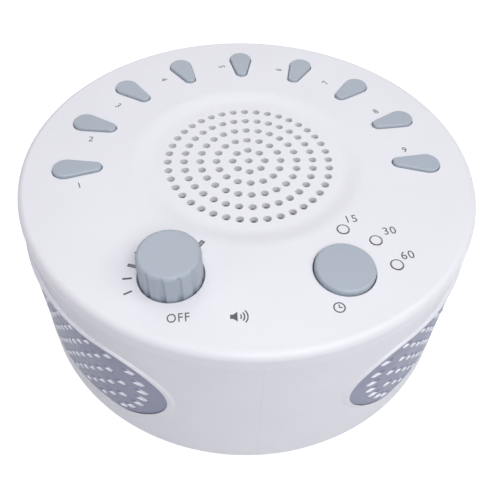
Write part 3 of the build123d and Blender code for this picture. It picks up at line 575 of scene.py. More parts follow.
lamps["places"] = [polar(lamps["ring"], angle, *buttonPlace) for angle in lamps["angles"]]

# tubes below the lid: place, outer and inner radius, lower end, what it hangs from
screwTube = (2.6, 1.05)
tubes = {
    "seat": [((0, 0), 28.5, 26.0, 50.8, panel["under"])],
    "ears": [(polar(30.4, angle), *screwTube, 50.2, panel["under"]) for angle in (45, 135, 225, 315)],
    "collar": [(buttonPlace, *timer["collar"][::-1], lid["under"] - timer["collarHeight"], lid["under"])],
    "posts": [(polar(60.5, angle), 3.2, 1.55, 12.0, lid["under"]) for angle in (31, 149, 211, 329)],
    "keyBosses": [(polar(50.55, 90 + keys["step"] * step), *screwTube, 48.0, lid["under"])
                  for step in (-3.5, -1.5, 1.5, 3.5)],
    "controlBosses": [(place, *screwTube, 42.0, lid["under"])
                      for place in ((0, -33), (0, -57.4), (-41.4, -32.6), (41.4, -32.6))],
    "sunk": 0.05,
}


def teardropOutline(angle, grow=0.0):
    # two round ends on one radial line, joined by their tangents
    span = keys["outerCentre"] - keys["innerCentre"]
    tangent = math.acos(-(keys["outerRadius"] - keys["innerRadius"]) / span)
    base, out = [], []
    for centre, radius, start, turn in ((keys["outerCentre"], keys["outerRadius"], -tangent, 2 * tangent),
                                        (keys["innerCentre"], keys["innerRadius"], tangent,
                                         2 * (math.pi - tangent))):
        for step in range(keys["arcSteps"] * 2 + 1):
            way = start + turn * step / (keys["arcSteps"] * 2)
            lean = np.array((math.cos(way), math.sin(way)))
            base.append(np.array((centre, 0)) + lean * (radius + grow))
            out.append(lean)
    turn = math.radians(angle)
    spin = np.array(((math.cos(turn), math.sin(turn)), (-math.sin(turn), math.cos(turn))))
    return np.array(base) @ spin, np.array(out) @ spin


def perforatedPanelTree():
    # rings of holes: a filled sheet above, one below and the hole walls between them
    tree, given = newTree("perforatedPanel", {
        "Hole Wall": "Object", "Rings": "Int", "Pitch": "Float", "Hole Radius": "Float",
        "Hole Round": "Float", "Hole Sides": "Int", "Top Radius": "Float", "Top Sides": "Int",
        "Top Height": "Float", "Under Radius": "Float", "Under Sides": "Int", "Under Height": "Float",
        "Material": "Material"})
    node, sums = partial(addNode, tree), partial(calc, tree)
    # hole number 0 is the middle one; ring n holds 8 n of them
    number = node("GeometryNodeInputIndex").outputs[0]
    root = sums("SQRT", sums("ADD", number, 1.0))
    ringNumber = sums("CEIL", sums("MULTIPLY", sums("SUBTRACT", root, 1.0), 0.5))
    before = sums("MULTIPLY", sums("MULTIPLY", ringNumber, sums("SUBTRACT", ringNumber, 1.0)), 4.0)
    place = sums("SUBTRACT", sums("SUBTRACT", number, before), 1.0)
    turn = sums("DIVIDE", place, sums("MULTIPLY", ringNumber, 4.0))
    angle = sums("MULTIPLY", sums("ADD", turn, 0.5), math.pi)
    radius = sums("MULTIPLY", ringNumber, given["Pitch"])
    spot = node("ShaderNodeCombineXYZ", {
        0: sums("MULTIPLY", radius, sums("COSINE", angle)),
        1: sums("MULTIPLY", radius, sums("SINE", angle))}).outputs[0]
    rings = given["Rings"]
    total = sums("ADD", sums("MULTIPLY", sums("MULTIPLY", rings, 4.0),
                                   sums("ADD", rings, 1.0)), 1.0)
    places = node("GeometryNodePoints", {"Count": total, "Position": spot}).outputs[0]

    def sheet(holeRadius, outerRadius, outerSides, height, flip):
        hole = node("GeometryNodeCurvePrimitiveCircle", {
            "Resolution": given["Hole Sides"], "Radius": holeRadius}).outputs[0]
        holes = node("GeometryNodeInstanceOnPoints", {"Points": places, "Instance": hole}).outputs[0]
        edge = node("GeometryNodeCurvePrimitiveCircle", {
            "Resolution": outerSides, "Radius": outerRadius}).outputs[0]
        joined = node("GeometryNodeJoinGeometry", {0: edge})
        tree.links.new(holes, joined.inputs[0])
        real = node("GeometryNodeRealizeInstances", {"Geometry": joined.outputs[0]}).outputs[0]
        filled = node("GeometryNodeFillCurve", {"Curve": real}).outputs[0]
        lift = node("ShaderNodeCombineXYZ", {2: height}).outputs[0]
        moved = node("GeometryNodeSetPosition", {"Geometry": filled, "Offset": lift}).outputs[0]
        return node("GeometryNodeFlipFaces", {"Mesh": moved}).outputs[0] if flip else moved

    above = sheet(sums("ADD", given["Hole Radius"], given["Hole Round"]), given["Top Radius"],
                  given["Top Sides"], given["Top Height"], False)
    below = sheet(given["Hole Radius"], given["Under Radius"], given["Under Sides"],
                  given["Under Height"], True)
    wallShape = node("GeometryNodeObjectInfo", {"Object": given["Hole Wall"]}).outputs["Geometry"]
    walls = node("GeometryNodeInstanceOnPoints", {"Points": places, "Instance": wallShape}).outputs[0]
    whole = node("GeometryNodeJoinGeometry", {0: above})
    tree.links.new(below, whole.inputs[0])
    tree.links.new(walls, whole.inputs[0])
    endTree(tree, whole.outputs[0], given["Material"])
    return tree


def perforatedPanel():
    # the speaker panel's holes and both its faces, in millimetres
    wallSkin = newSkin()
    hole = panel["holeRadius"]
    addLoft(wallSkin, circleOutline(sides=panel["holeSides"]), [
        (hole, panel["under"]), (hole, panel["top"], panel["holeRound"]),
        (hole + panel["holeRound"], panel["top"])])
    wallShape = bpy.data.objects.new("holeWall", skinMesh(wallSkin, "holeWall", 1.0))
    scene.collection.objects.link(wallShape)
    made = runTree(perforatedPanelTree(), bpy.data.meshes.new("panelStart"), {
        "Hole Wall": wallShape, "Rings": panel["rings"], "Pitch": panel["pitch"], "Hole Radius": hole,
        "Hole Round": panel["holeRound"], "Hole Sides": panel["holeSides"], "Top Radius": panel["flatRadius"],
        "Top Sides": lid["sides"], "Top Height": panel["top"], "Under Radius": panel["bossRadius"],
        "Under Sides": lid["sides"], "Under Height": panel["under"], "Material": finishes["lid"]})
    bpy.data.objects.remove(wallShape)
    return made


def makeLid():
    skin = newSkin()
    round_ = lid["openingRound"]
    middle = circleOutline(sides=lid["sides"])
    inner = lid["spigotRadius"] - lid["spigotWall"]
    edgeStart = lid["radius"] - lid["edgeRound"] - lid["edgeMargin"]
    # rim, from the flat top over the edge and round the spigot to the underside
    addLoft(skin, middle, [
        (edgeStart, lid["top"]), (lid["radius"], lid["top"], lid["edgeRound"]),
        (lid["radius"], lid["seam"], lid["lipRound"]), (lid["spigotRadius"], lid["seam"]),
        (lid["spigotRadius"], lid["seam"] - lid["spigotDepth"]), (inner, lid["seam"] - lid["spigotDepth"]),
        (inner, lid["under"])], 8)
    # soft slope down to the speaker panel, and the panel's step below
    addLoft(skin, middle, [
        (panel["flatRadius"], panel["top"]), (panel["radius"], panel["top"], panel["slopeRound"]),
        (panel["slopeRadius"], lid["top"], panel["slopeRound"]), (panel["slopeEnd"], lid["top"])], 6)
    addLoft(skin, middle, [(panel["bossRadius"], lid["under"]), (panel["bossRadius"], panel["under"])])
    addMesh(skin, perforatedPanel())
    # openings: outline, its path, and what the under face sees of it
    topHoles = [ringOf(middle, edgeStart), ringOf(middle, panel["slopeEnd"])]
    underHoles = [ringOf(middle, inner), ringOf(middle, panel["bossRadius"])]
    through = [(teardropOutline(angle, keys["fit"]), 0.0) for angle in keys["angles"]]
    through.append((circleOutline(*buttonPlace, lid["wideSides"]), timer["radius"] + timer["fit"]))
    through += [(circleOutline(*place, lid["narrowSides"]), lamps["opening"]) for place in lamps["places"]]
    for outline, offset in through:
        addLoft(skin, outline, [
            (offset, lid["under"]), (offset, lid["top"], round_), (offset + round_, lid["top"])])
        topHoles.append(ringOf(outline, offset + round_))
        underHoles.append(ringOf(outline, offset))
    wellOutline = circleOutline(*knobPlace, lid["wideSides"])
    outer = well["radius"] + well["wall"]
    addLoft(skin, wellOutline, [
        (outer, lid["under"]), (outer, well["under"]), (well["bushing"], well["under"]),
        (well["bushing"], well["floor"]), (well["radius"], well["floor"]),
        (well["radius"], lid["top"], round_), (well["radius"] + round_, lid["top"])])
    topHoles.append(ringOf(wellOutline, well["radius"] + round_))
    underHoles.append(ringOf(wellOutline, outer))
    addFlat(skin, lid["top"], 1.0, topHoles)
    addFlat(skin, lid["under"], -1.0, underHoles)
    for name in ("seat", "ears", "collar", "posts", "keyBosses", "controlBosses"):
        for place, outer, inner, low, high in tubes[name]:
            high += tubes["sunk"]
            sides = lid["wideSides"] if outer > lid["narrowUpTo"] else lid["narrowSides"]
            addLoft(skin, circleOutline(*place, sides), [
                (outer, high), (outer, low), (inner, low), (inner, high), (outer, high)])
    addPiece("lid", skinMesh(skin, "lid"), "lid", "housing", ["top_cover"])


makeLid()
print("lid made")


def makeKey(number, angle):
    skin = newSkin()
    outline = teardropOutline(angle)
    flangeLow = keys["flangeTop"] - keys["flangeHeight"]
    top = lid["top"] + keys["proud"]
    start = -keys["edgeRound"] - keys["topMargin"]
    addLoft(skin, outline, [
        (start, top), (0, top, keys["edgeRound"]), (0, keys["flangeTop"]),
        (keys["flangeLap"], keys["flangeTop"]), (keys["flangeLap"], flangeLow)])
    addFlat(skin, top, 1.0, [ringOf(outline, start)])
    stem = circleOutline(*polar(keys["stemPlace"], angle), keys["stemSides"])
    addLoft(skin, stem, [
        (keys["stemRadius"], flangeLow), (keys["stemRadius"], keys["stemEnd"]), (0, keys["stemEnd"])])
    addFlat(skin, flangeLow, -1.0, [ringOf(outline, keys["flangeLap"]), ringOf(stem, keys["stemRadius"])])
    name = f"key{number}"
    addPiece(name, skinMesh(skin, name), "control", f"key_{number}",
             [f"sound_key_{number}"])


def makeTimerButton():
    skin = newSkin()
    top = buttonHigh[2]
    addLoft(skin, circleOutline(*buttonPlace, timer["sides"]), [
        (0, top), (timer["radius"], top, timer["edgeRound"]), (timer["radius"], keys["flangeTop"]),
        (timer["flangeRadius"], keys["flangeTop"]), (timer["flangeRadius"], timer["flangeLow"]),
        (timer["stemRadius"], timer["flangeLow"]), (timer["stemRadius"], timer["stemEnd"]),
        (0, timer["stemEnd"])], 8)
    mesh = skinMesh(skin, "timerButton")
    addPiece("timerButton", mesh, "control", "timer", ["timer_button"])


knob = {
    "radius": 8.1,
    "footRadius": 8.3,
    "topRound": 1.15,
    "low": knobLow[2],
    "top": knobHigh[2],
    "wall": 1.9,
    "hubRadius": 4.4,
    "hubLow": 59.2,
    "boreRadius": 3.02,
    "boreTop": 63.4,
    "flutes": 12,
    "fluteRadius": 0.85,
    "fluteDepth": 0.4,
    "fluteBlend": 0.2,
    "fluteStart": 289.0,
    "sides": 480,
    "innerSides": 96,
    "riseSteps": 8,
    "topRings": (5.4, 6.6),
}


def flutesTree():
    # press rounded grooves into everything that stands further out than their floor
    tree, given = newTree("knobFlutes", {
        "Count": "Float", "Start": "Float", "Groove Radius": "Float", "Groove Centre": "Float",
        "Blend": "Float", "Material": "Material"})
    node, sums = partial(addNode, tree), partial(calc, tree)
    spot = node("ShaderNodeSeparateXYZ", {0: node("GeometryNodeInputPosition").outputs[0]}).outputs
    radius = sums("SQRT", sums("ADD", sums("MULTIPLY", spot[0], spot[0]),
                                     sums("MULTIPLY", spot[1], spot[1])))
    angle = sums("SUBTRACT", sums("ARCTAN2", spot[1], spot[0]), given["Start"])
    half = sums("DIVIDE", math.pi, given["Count"])
    off = sums("WRAP", angle, half, sums("MULTIPLY", half, -1.0))
    along = sums("MULTIPLY", given["Groove Centre"], sums("COSINE", off))
    across = sums("MULTIPLY", given["Groove Centre"], sums("SINE", off))
    room = sums("SUBTRACT", sums("MULTIPLY", given["Groove Radius"], given["Groove Radius"]),
                sums("MULTIPLY", across, across))
    floor = sums("SUBTRACT", along, sums("SQRT", sums("MAXIMUM", room, 0.0)))
    pressed = sums("SMOOTH_MIN", radius, floor, given["Blend"])
    share = sums("DIVIDE", pressed, sums("MAXIMUM", radius, 0.001))
    place = node("ShaderNodeCombineXYZ", {
        0: sums("MULTIPLY", spot[0], share), 1: sums("MULTIPLY", spot[1], share), 2: spot[2]}).outputs[0]
    moved = node("GeometryNodeSetPosition", {"Geometry": given["Geometry"], "Position": place}).outputs[0]
    endTree(tree, moved, given["Material"])
    return tree


def makeKnob():
    outside = newSkin()
    middle = circleOutline(sides=knob["sides"])
    top, low = knob["top"], knob["low"]
    roof = top - knob["wall"]
    skirt = knob["radius"] - knob["wall"]
    steps = knob["riseSteps"]
    rise = [(knob["footRadius"] + (knob["radius"] - knob["footRadius"]) * step / steps,
             low + (top - low) * step / steps) for step in range(steps - 1, 0, -1)]
    addLoft(outside, middle, [
        (0, top), *((ring, top) for ring in knob["topRings"]), (knob["radius"], top, knob["topRound"]), *rise,
        (knob["footRadius"], low)], 12)
    plain = skinMesh(outside, "knobOutside", 1.0)
    made = runTree(flutesTree(), plain, {
        "Count": float(knob["flutes"]), "Start": math.radians(knob["fluteStart"]),
        "Groove Radius": knob["fluteRadius"],
        "Groove Centre": knob["radius"] + knob["fluteRadius"] - knob["fluteDepth"],
        "Blend": knob["fluteBlend"], "Material": finishes["control"]})
    edge = np.array([vertex.co for vertex in made.vertices if abs(vertex.co.z - low) < 1e-4])
    edge = edge[np.argsort(np.arctan2(edge[:, 1], edge[:, 0]))][:, :2]
    # smooth shading over the whole outside, sharp at its lower edge
    bare = bpy.data.meshes.new("knobShape")
    bare.from_pydata([vertex.co for vertex in made.vertices], [],
                     [list(face.vertices) for face in made.polygons])
    bare.polygons.foreach_set("use_smooth", [True] * len(bare.polygons))
    skin = newSkin()
    addMesh(skin, bare)
    inner = circleOutline(sides=knob["innerSides"])
    addFlat(skin, low, -1.0, [edge, ringOf(inner, skirt)])
    addLoft(skin, inner, [
        (skirt, low), (skirt, roof), (knob["hubRadius"], roof), (knob["hubRadius"], knob["hubLow"]),
        (knob["boreRadius"], knob["hubLow"]), (knob["boreRadius"], knob["boreTop"]), (0, knob["boreTop"])])
    mesh = skinMesh(skin, "knob")
    mesh.transform(Matrix.Translation((knobPlace[0] * mm, knobPlace[1] * mm, 0)))
    addPiece("knob", mesh, "control", "volume", ["volume_knob"])


for number, angle in enumerate(reversed(keys["angles"]), 1):
    makeKey(number, angle)
makeTimerButton()
makeKnob()
print("keys, button and knob made")


wallLow, wallHigh = nodeBox("side_wall")
wall = {
    "low": wallLow[2],
    "high": wallHigh[2],
    "footRadius": wallHigh[0],
    "topRadius": lid["radius"] - 0.5,
    "thickness": 2.0,
    "footRound": 0.5,
    "topRound": 0.3,
    "margin": 1.0,
    "columns": 240,
    "rows": 13,
    "gridClear": 1.2,
    "seamAngle": -90.0,
    "ledge": (66.6, 4.2, 6.2),
}
window = {
    "straight": 56.9,
    "end": 9.0,
    "halfHeight": 15.8,
    "middle": 26.3,
    "shift": 0.95,
    "tilt": math.radians(1.8),
    "lip": 0.5,
    "edgeRound": 0.35,
    "edgeSteps": 5,
    "floor": 0.85,
    "rear": 3.15,
    "padMargin": 0.9,
    "skirt": 0.02,
    "straightSteps": 44,
    "endSteps": 40,
    "grid": (60, 10, 0.8),  # columns, rows and distance from the edges
}
grille = {
    "fit": 0.15,
    "front": 0.25,
    "rear": 0.85,
    "holeRadius": 1.15,
    "holeSides": 20,
    "row": 3.7,
    "column": 4.55,
    "rows": 8,
    "endBulge": 5.6,
    "endReach": 13.8,
    "endClear": 2.8,
    "endSpare": 0.5,
    "endHoles": 6,
    "endStep": 4.15,
    "pegRadius": 0.9,
    "pegHole": 1.0,
    "pegStart": 0.55,
    "pegSides": 20,
    "pegHoleSides": 24,
}
grille["pegs"] = [(files * grille["column"], window["middle"] + grille["row"] / 2)
                  for files in (-8.5, -2.5, 2.5, 8.5)]
jackLow, jackHigh = nodeBox("power_jack")
jack = {
    "plane": 69.35,
    "middle": (jackLow[2] + jackHigh[2]) / 2,
    "half": 6.5,
    "padHalf": 7.5,
    "corner": 0.8,
    "lip": 0.3,
    "holeRadius": 4.0,
    "pad": 2.6,
    "holeSides": 48,
}


def wallRadius(height):
    share = (height - wall["low"]) / (wall["high"] - wall["low"])
    return wall["footRadius"] + (wall["topRadius"] - wall["footRadius"]) * share


def onWall(flat, inset):
    # points (distance round, height) of the unrolled wall, put back on it at a depth
    angles = flat[..., 0] / wall["footRadius"]
    radius = wallRadius(flat[..., 1]) - inset
    return np.stack([radius * np.cos(angles), radius * np.sin(angles), flat[..., 1]], axis=-1)


def wallNormals(points, inward=False):
    lean = (wall["footRadius"] - wall["topRadius"]) / (wall["high"] - wall["low"])
    reach = np.hypot(points[..., 0], points[..., 1])
    normals = np.stack([points[..., 0] / reach, points[..., 1] / reach, np.full(reach.shape, lean)], axis=-1)
    return -normals if inward else normals


def sidePoint(spots, side, depths):
    # points at (sideways, height) and a distance out from the axis, looking at one side
    turn = math.radians(side)
    x = depths * math.cos(turn) - spots[:, 0] * math.sin(turn)
    y = depths * math.sin(turn) + spots[:, 0] * math.cos(turn)
    return np.stack([x, y, spots[:, 1]], axis=1)


def sideDepths(spots, inset):
    # how far out the wall lies above each (sideways, height)
    return np.sqrt((wallRadius(spots[:, 1]) - inset) ** 2 - spots[:, 0] ** 2)


def onSide(spots, side, inset):
    # (sideways, height) laid on the wall at a depth
    return sidePoint(spots, side, sideDepths(spots, inset))


def unroll(points, side):
    # wall points as (distance round, height), without a jump inside one side's opening
    turn = math.radians(side)
    angles = np.arctan2(points[:, 1], points[:, 0]) - turn
    angles = (angles + math.pi) % (2 * math.pi) - math.pi + turn
    return np.stack([angles * wall["footRadius"], points[:, 2]], axis=1)


def windowOutline(grow=0.0):
    # straight top and bottom with half-oval ends, counter-clockwise seen from outside
    half = window["halfHeight"] + grow
    end = window["end"] + grow
    run = np.linspace(-window["straight"], window["straight"], window["straightSteps"] + 1)
    bend = np.linspace(-math.pi / 2, math.pi / 2, window["endSteps"] + 1)[1:-1]
    right = np.stack([window["straight"] + end * np.cos(bend), half * np.sin(bend)], axis=1)
    low = np.stack([run, np.full(len(run), -half)], axis=1)
    return np.concatenate([low, right, -low, -right]) + (0, window["middle"])


def windowDepths(spots, inset=0.0):
    # how far out the window's shifted and tilted cone lies above each (sideways, height)
    cosine, sine = math.cos(window["tilt"]), math.sin(window["tilt"])
    rise = spots[:, 1] - window["middle"]
    reach = np.full(len(spots), wall["topRadius"])
    for _ in range(5):
        radius = wallRadius(window["middle"] + sine * reach + cosine * rise) - inset
        reach = (np.sqrt(np.maximum(radius ** 2 - spots[:, 0] ** 2, 0)) + sine * rise) / cosine
    return window["shift"] + reach


def windowNormals(points):
    cosine, sine = math.cos(window["tilt"]), math.sin(window["tilt"])
    lean = (wall["footRadius"] - wall["topRadius"]) / (wall["high"] - wall["low"])
    x = cosine * (points[..., 0] - window["shift"]) - sine * (points[..., 2] - window["middle"])
    reach = np.hypot(x, points[..., 1])
    return np.stack([
        cosine * x / reach + sine * lean, points[..., 1] / reach, cosine * lean - sine * x / reach], axis=-1)


def onWindow(spots, inset=0.0):
    return sidePoint(spots, 0, windowDepths(spots, inset))


def rearDepths(spots):
    # inner face behind the window: never further out than the wall's own
    wallDepths = sideDepths(spots, wall["thickness"]) - window["skirt"]
    return np.minimum(windowDepths(spots, window["rear"]), wallDepths)


def addWindowPatch(skin, loops, depthsOf, inward=False):
    # fill between loops of (sideways, height) and lay the faces at their depths
    bent = [np.stack([wall["footRadius"] * np.arcsin(loop[:, 0] / wall["footRadius"]), loop[:, 1]], axis=1)
            for loop in loops]
    flat = fillLoops(bent, gridPoints(bent, *window["grid"])).reshape(-1, 2)
    spots = np.stack([wall["footRadius"] * np.sin(flat[:, 0] / wall["footRadius"]), flat[:, 1]], axis=1)
    points = sidePoint(spots, 0, depthsOf(spots)).reshape(-1, 3, 3)
    normals = windowNormals(points)
    addPatch(skin, points, -normals if inward else normals)


def addWindow(skin):
    # rim that stands proud of the wall, the pocket inside it, its floor with peg holes and its back
    outline, base = windowOutline(window["lip"]), windowOutline()
    out = growLoop(outline, 1.0) - outline
    sideways = np.concatenate([np.zeros((len(out), 1)), out], axis=1)
    round_ = np.minimum(window["edgeRound"], 0.45 * (windowDepths(outline) - sideDepths(outline, 0)))[:, None]
    rows, normals = [onSide(outline, 0, 0)], [sideways]
    for step in range(window["edgeSteps"] + 1):
        angle = math.pi / 2 * step / window["edgeSteps"]
        points = onWindow(outline - out * round_ * (1 - math.cos(angle)))
        points[:, :1] -= round_ * (1 - math.sin(angle))
        rows.append(points)
        normals.append(sideways * math.cos(angle) + windowNormals(points) * math.sin(angle))
    rows.append(onWindow(base))
    normals.append(windowNormals(rows[-1]))
    addGrid(skin, np.stack(rows), np.stack(normals))
    addBand(skin, onWindow(base), onWindow(base, window["floor"]))
    holes = [ringOf(circleOutline(*place, grille["pegHoleSides"]), grille["pegHole"])
             for place in grille["pegs"]]
    addWindowPatch(skin, [base] + holes, lambda spots: windowDepths(spots, window["floor"]))
    pad = windowOutline(window["padMargin"])
    addBand(skin, onSide(pad, 0, wall["thickness"]), sidePoint(pad, 0, rearDepths(pad)), True)
    addWindowPatch(skin, [pad] + holes, rearDepths, True)
    for hole in holes:
        addBand(skin, onWindow(hole, window["floor"]), sidePoint(hole, 0, rearDepths(hole)))
    return outline, pad


def squareOutline(half, corner):
    # rounded square round the jack, counter-clockwise seen from outside
    corners = np.array(((1, 1), (-1, 1), (-1, -1), (1, -1)))
    spots = []
    for turn, ways in enumerate(corners):
        centre = ways * (half - corner)
        spots += [np.array(polar(corner, 90 * turn + 15 * step, *centre)) for step in range(7)]
        along = (corners[(turn + 1) % 4] - ways) * (half - corner)
        spots += [spots[-1] + along * share for share in (0.25, 0.5, 0.75)]
    return np.array(spots) + (0, jack["middle"])


def addBand(skin, first, second, inward=False):
    # strip between two loops, counter-clockwise seen from outside, facing into the opening
    middle = (first + second) / 2
    along = np.roll(middle, -1, axis=0) - np.roll(middle, 1, axis=0)
    normals = np.cross(along, second - first)
    normals /= np.linalg.norm(normals, axis=1)[:, None]
    normals = -normals if inward else normals
    addGrid(skin, np.stack([first, second]), np.stack([normals, normals]))


def addWallPatch(skin, loops, inset, inward, extra):
    points = onWall(fillLoops(loops, extra), inset)
    addPatch(skin, points, wallNormals(points, inward))


def addSideFlat(skin, loops, side, depth, way):
    # upright flat between loops of (sideways, height), at one distance from the axis
    points = sidePoint(fillLoops(loops).reshape(-1, 2), side, depth).reshape(-1, 3, 3)
    addPatch(skin, points, np.broadcast_to(way, points.shape))


def growLoop(loop, distance):
    along = np.roll(loop, -1, axis=0) - np.roll(loop, 1, axis=0)
    along /= np.linalg.norm(along, axis=1)[:, None]
    return loop + np.stack([along[:, 1], -along[:, 0]], axis=1) * distance


def wallFrameLoop(low, high):
    # edge of the unrolled wall between two heights, from seam to seam
    start = math.radians(wall["seamAngle"])
    rounds = (start + np.arange(wall["columns"] + 1) * 2 * math.pi / wall["columns"]) * wall["footRadius"]
    heights = np.linspace(low, high, wall["rows"])[1:-1]
    return np.concatenate([
        np.stack([rounds, np.full(len(rounds), low)], axis=1),
        np.stack([np.full(len(heights), rounds[-1]), heights], axis=1),
        np.stack([rounds[::-1], np.full(len(rounds), high)], axis=1),
        np.stack([np.full(len(heights), rounds[0]), heights[::-1]], axis=1)])


def gridPoints(loops, columns, rows, clear):
    # grid over the first loop that keeps clear of the others' edges
    low, high = loops[0].min(axis=0), loops[0].max(axis=0)
    x, y = np.meshgrid(np.linspace(low[0], high[0], columns + 1)[1:-1],
                       np.linspace(low[1], high[1], rows)[1:-1])
    grid = np.stack([x.ravel(), y.ravel()], axis=1)
    grid = grid[insideLoops(grid, loops)]
    edges = np.concatenate(loops)
    near = np.sqrt(((grid[:, None] - edges[None]) ** 2).sum(axis=2)).min(axis=1)
    return grid[near > clear]


def turnedSkin(skin):
    # the same patches on the opposite side
    half = np.array((-1.0, -1.0, 1.0))
    return [(points * half, normals * half) for points, normals in skin]


def makeWall():
    skin = newSkin()
    middle = circleOutline(sides=wall["columns"], start=wall["seamAngle"])
    low, high = wall["low"] + wall["margin"], wall["high"] - wall["margin"]
    thick = wall["thickness"]
    addLoft(skin, middle, [
        (wallRadius(high) - thick, high), (wall["topRadius"] - thick, wall["high"]),
        (wall["topRadius"], wall["high"], wall["topRound"]), (wallRadius(high), high)])
    addLoft(skin, middle, [
        (wallRadius(low), low), (wall["footRadius"], wall["low"], wall["footRound"]),
        (wall["footRadius"] - thick, wall["low"]), (wallRadius(low) - thick, low)])
    outerLoops, innerLoops = [wallFrameLoop(low, high)], [wallFrameLoop(low, high)]
    opening = newSkin()
    outline, pad = addWindow(opening)
    skin += opening + turnedSkin(opening)
    for side in (0, 180):
        outerLoops.append(unroll(onSide(outline, side, 0), side))
        innerLoops.append(unroll(onSide(pad, side, thick), side))
    # flat seat of the power jack
    seat, seatLip, pad = (squareOutline(half, jack["corner"])
                          for half in (jack["half"], jack["half"] + jack["lip"], jack["padHalf"]))
    edge = onSide(seatLip, 90, 0)
    chamfer = sidePoint(seat, 90, sideDepths(seat, 0) - jack["lip"])
    addBand(skin, edge, chamfer)
    addBand(skin, chamfer, sidePoint(seat, 90, jack["plane"]))
    outerLoops.append(unroll(edge, 90))
    rear = jack["plane"] - jack["pad"]
    padEdge = onSide(pad, 90, thick)
    innerLoops.append(unroll(padEdge, 90))
    addBand(skin, padEdge, sidePoint(pad, 90, rear), True)
    hole = ringOf(circleOutline(0, jack["middle"], jack["holeSides"]), jack["holeRadius"])
    for outline, depth, way in ((seat, jack["plane"], 1.0), (pad, rear, -1.0)):
        addSideFlat(skin, [outline, hole], 90, depth, (0.0, way, 0.0))
    addBand(skin, sidePoint(hole, 90, jack["plane"]), sidePoint(hole, 90, rear))
    for loops, inset, inward in ((outerLoops, 0.0, False), (innerLoops, thick, True)):
        grid = gridPoints(loops, wall["columns"], wall["rows"], wall["gridClear"])
        addWallPatch(skin, loops, inset, inward, grid)
    inner, ledgeLow, ledgeHigh = wall["ledge"]
    outer = wallRadius(ledgeHigh) - thick / 2
    addLoft(skin, middle, [(inner, ledgeLow), (inner, ledgeHigh), (outer, ledgeHigh), (outer, ledgeLow),
                           (inner, ledgeLow)])
    addPiece("drumWall", skinMesh(skin, "drumWall"), "wall", "housing", ["side_wall"])


makeWall()
print("drum wall made")


def grillePlaces():
    # a curved file of holes round each end, and staggered rows that keep clear of it
    def reach(height):
        rise = height / grille["endReach"]
        return window["straight"] + grille["endBulge"] * math.sqrt(max(0, 1 - rise ** 2))

    heights = [grille["endStep"] * (number - (grille["endHoles"] - 1) / 2)
               for number in range(grille["endHoles"])]
    ends = [(side * reach(height), height) for height in heights for side in (-1, 1)]
    steps = int(reach(0) / grille["column"]) + 1
    places = list(ends)
    for number in range(grille["rows"]):
        height = grille["row"] * (number - (grille["rows"] - 1) / 2)
        for step in range(-steps, steps + 1):
            spot = ((step + 0.5 * (number % 2)) * grille["column"], height)
            clear = min(math.dist(spot, end) for end in ends)
            if abs(spot[0]) < reach(height) + grille["endSpare"] and clear > grille["endClear"]:
                places.append(spot)
    return places


def grilleTree():
    # a flat sheet filled between its outline and its holes, and the same sheet pushed back
    tree, given = newTree("grilleSheet", {
        "Outline": "Object", "Hole Radius": "Float", "Hole Sides": "Int", "Depth": "Float",
        "Material": "Material"})
    node, sums = partial(addNode, tree), partial(calc, tree)
    hole = node("GeometryNodeCurvePrimitiveCircle", {
        "Resolution": given["Hole Sides"], "Radius": given["Hole Radius"]}).outputs[0]
    places = node("GeometryNodeMeshToPoints", {"Mesh": given["Geometry"]}).outputs[0]
    holes = node("GeometryNodeInstanceOnPoints", {"Points": places, "Instance": hole}).outputs[0]
    shape = node("GeometryNodeObjectInfo", {"Object": given["Outline"]}).outputs["Geometry"]
    edge = node("GeometryNodeMeshToCurve", {"Mesh": shape}).outputs[0]
    joined = node("GeometryNodeJoinGeometry", {0: edge})
    tree.links.new(holes, joined.inputs[0])
    real = node("GeometryNodeRealizeInstances", {"Geometry": joined.outputs[0]}).outputs[0]
    sheet = node("GeometryNodeFillCurve", {"Curve": real}).outputs[0]
    back = node("ShaderNodeCombineXYZ", {2: sums("MULTIPLY", given["Depth"], -1.0)}).outputs[0]
    pushed = node("GeometryNodeExtrudeMesh", {
        "Mesh": sheet, "Offset": back, "Offset Scale": 1.0, "Individual": False,
    }, mode="FACES").outputs["Mesh"]
    whole = node("GeometryNodeJoinGeometry", {0: sheet})
    tree.links.new(pushed, whole.inputs[0])
    endTree(tree, whole.outputs[0], given["Material"])
    return tree


def makeGrilles():
    outline = windowOutline(-grille["fit"]) - (0, window["middle"])
    edge = bpy.data.meshes.new("grilleOutline")
    count = len(outline)
    edge.from_pydata([(x, y, 0) for x, y in outline], [(n, (n + 1) % count) for n in range(count)], [])
    edgeShape = bpy.data.objects.new("grilleOutline", edge)
    scene.collection.objects.link(edgeShape)
    places = bpy.data.meshes.new("grilleHoles")
    places.from_pydata([(x, y, 0) for x, y in grillePlaces()], [], [])
    sheet = runTree(grilleTree(), places, {
        "Outline": edgeShape, "Hole Radius": grille["holeRadius"], "Hole Sides": grille["holeSides"],
        "Depth": grille["rear"] - grille["front"], "Material": finishes["grille"]})
    bpy.data.objects.remove(edgeShape)
    # lay the flat sheet on the window's cone
    flat = np.array([vertex.co for vertex in sheet.vertices])
    isRear = flat[:, 2] < -0.01
    points = onWindow(flat[:, :2] + (0, window["middle"]), np.where(isRear, grille["rear"], grille["front"]))
    skin = newSkin()
    walls, faces = [], {False: [], True: []}
    for face in sheet.polygons:
        ids = list(face.vertices)
        if isRear[ids].all() or not isRear[ids].any():
            faces[bool(isRear[ids[0]])].append(ids)
        else:
            walls.append(ids)
    for inward, group in faces.items():
        corners = points[np.array(group)]
        normals = windowNormals(corners)
        addPatch(skin, corners, -normals if inward else normals)
    addSheetWalls(skin, points, walls)
    for place in grille["pegs"]:
        addPeg(skin, place)
    return skin


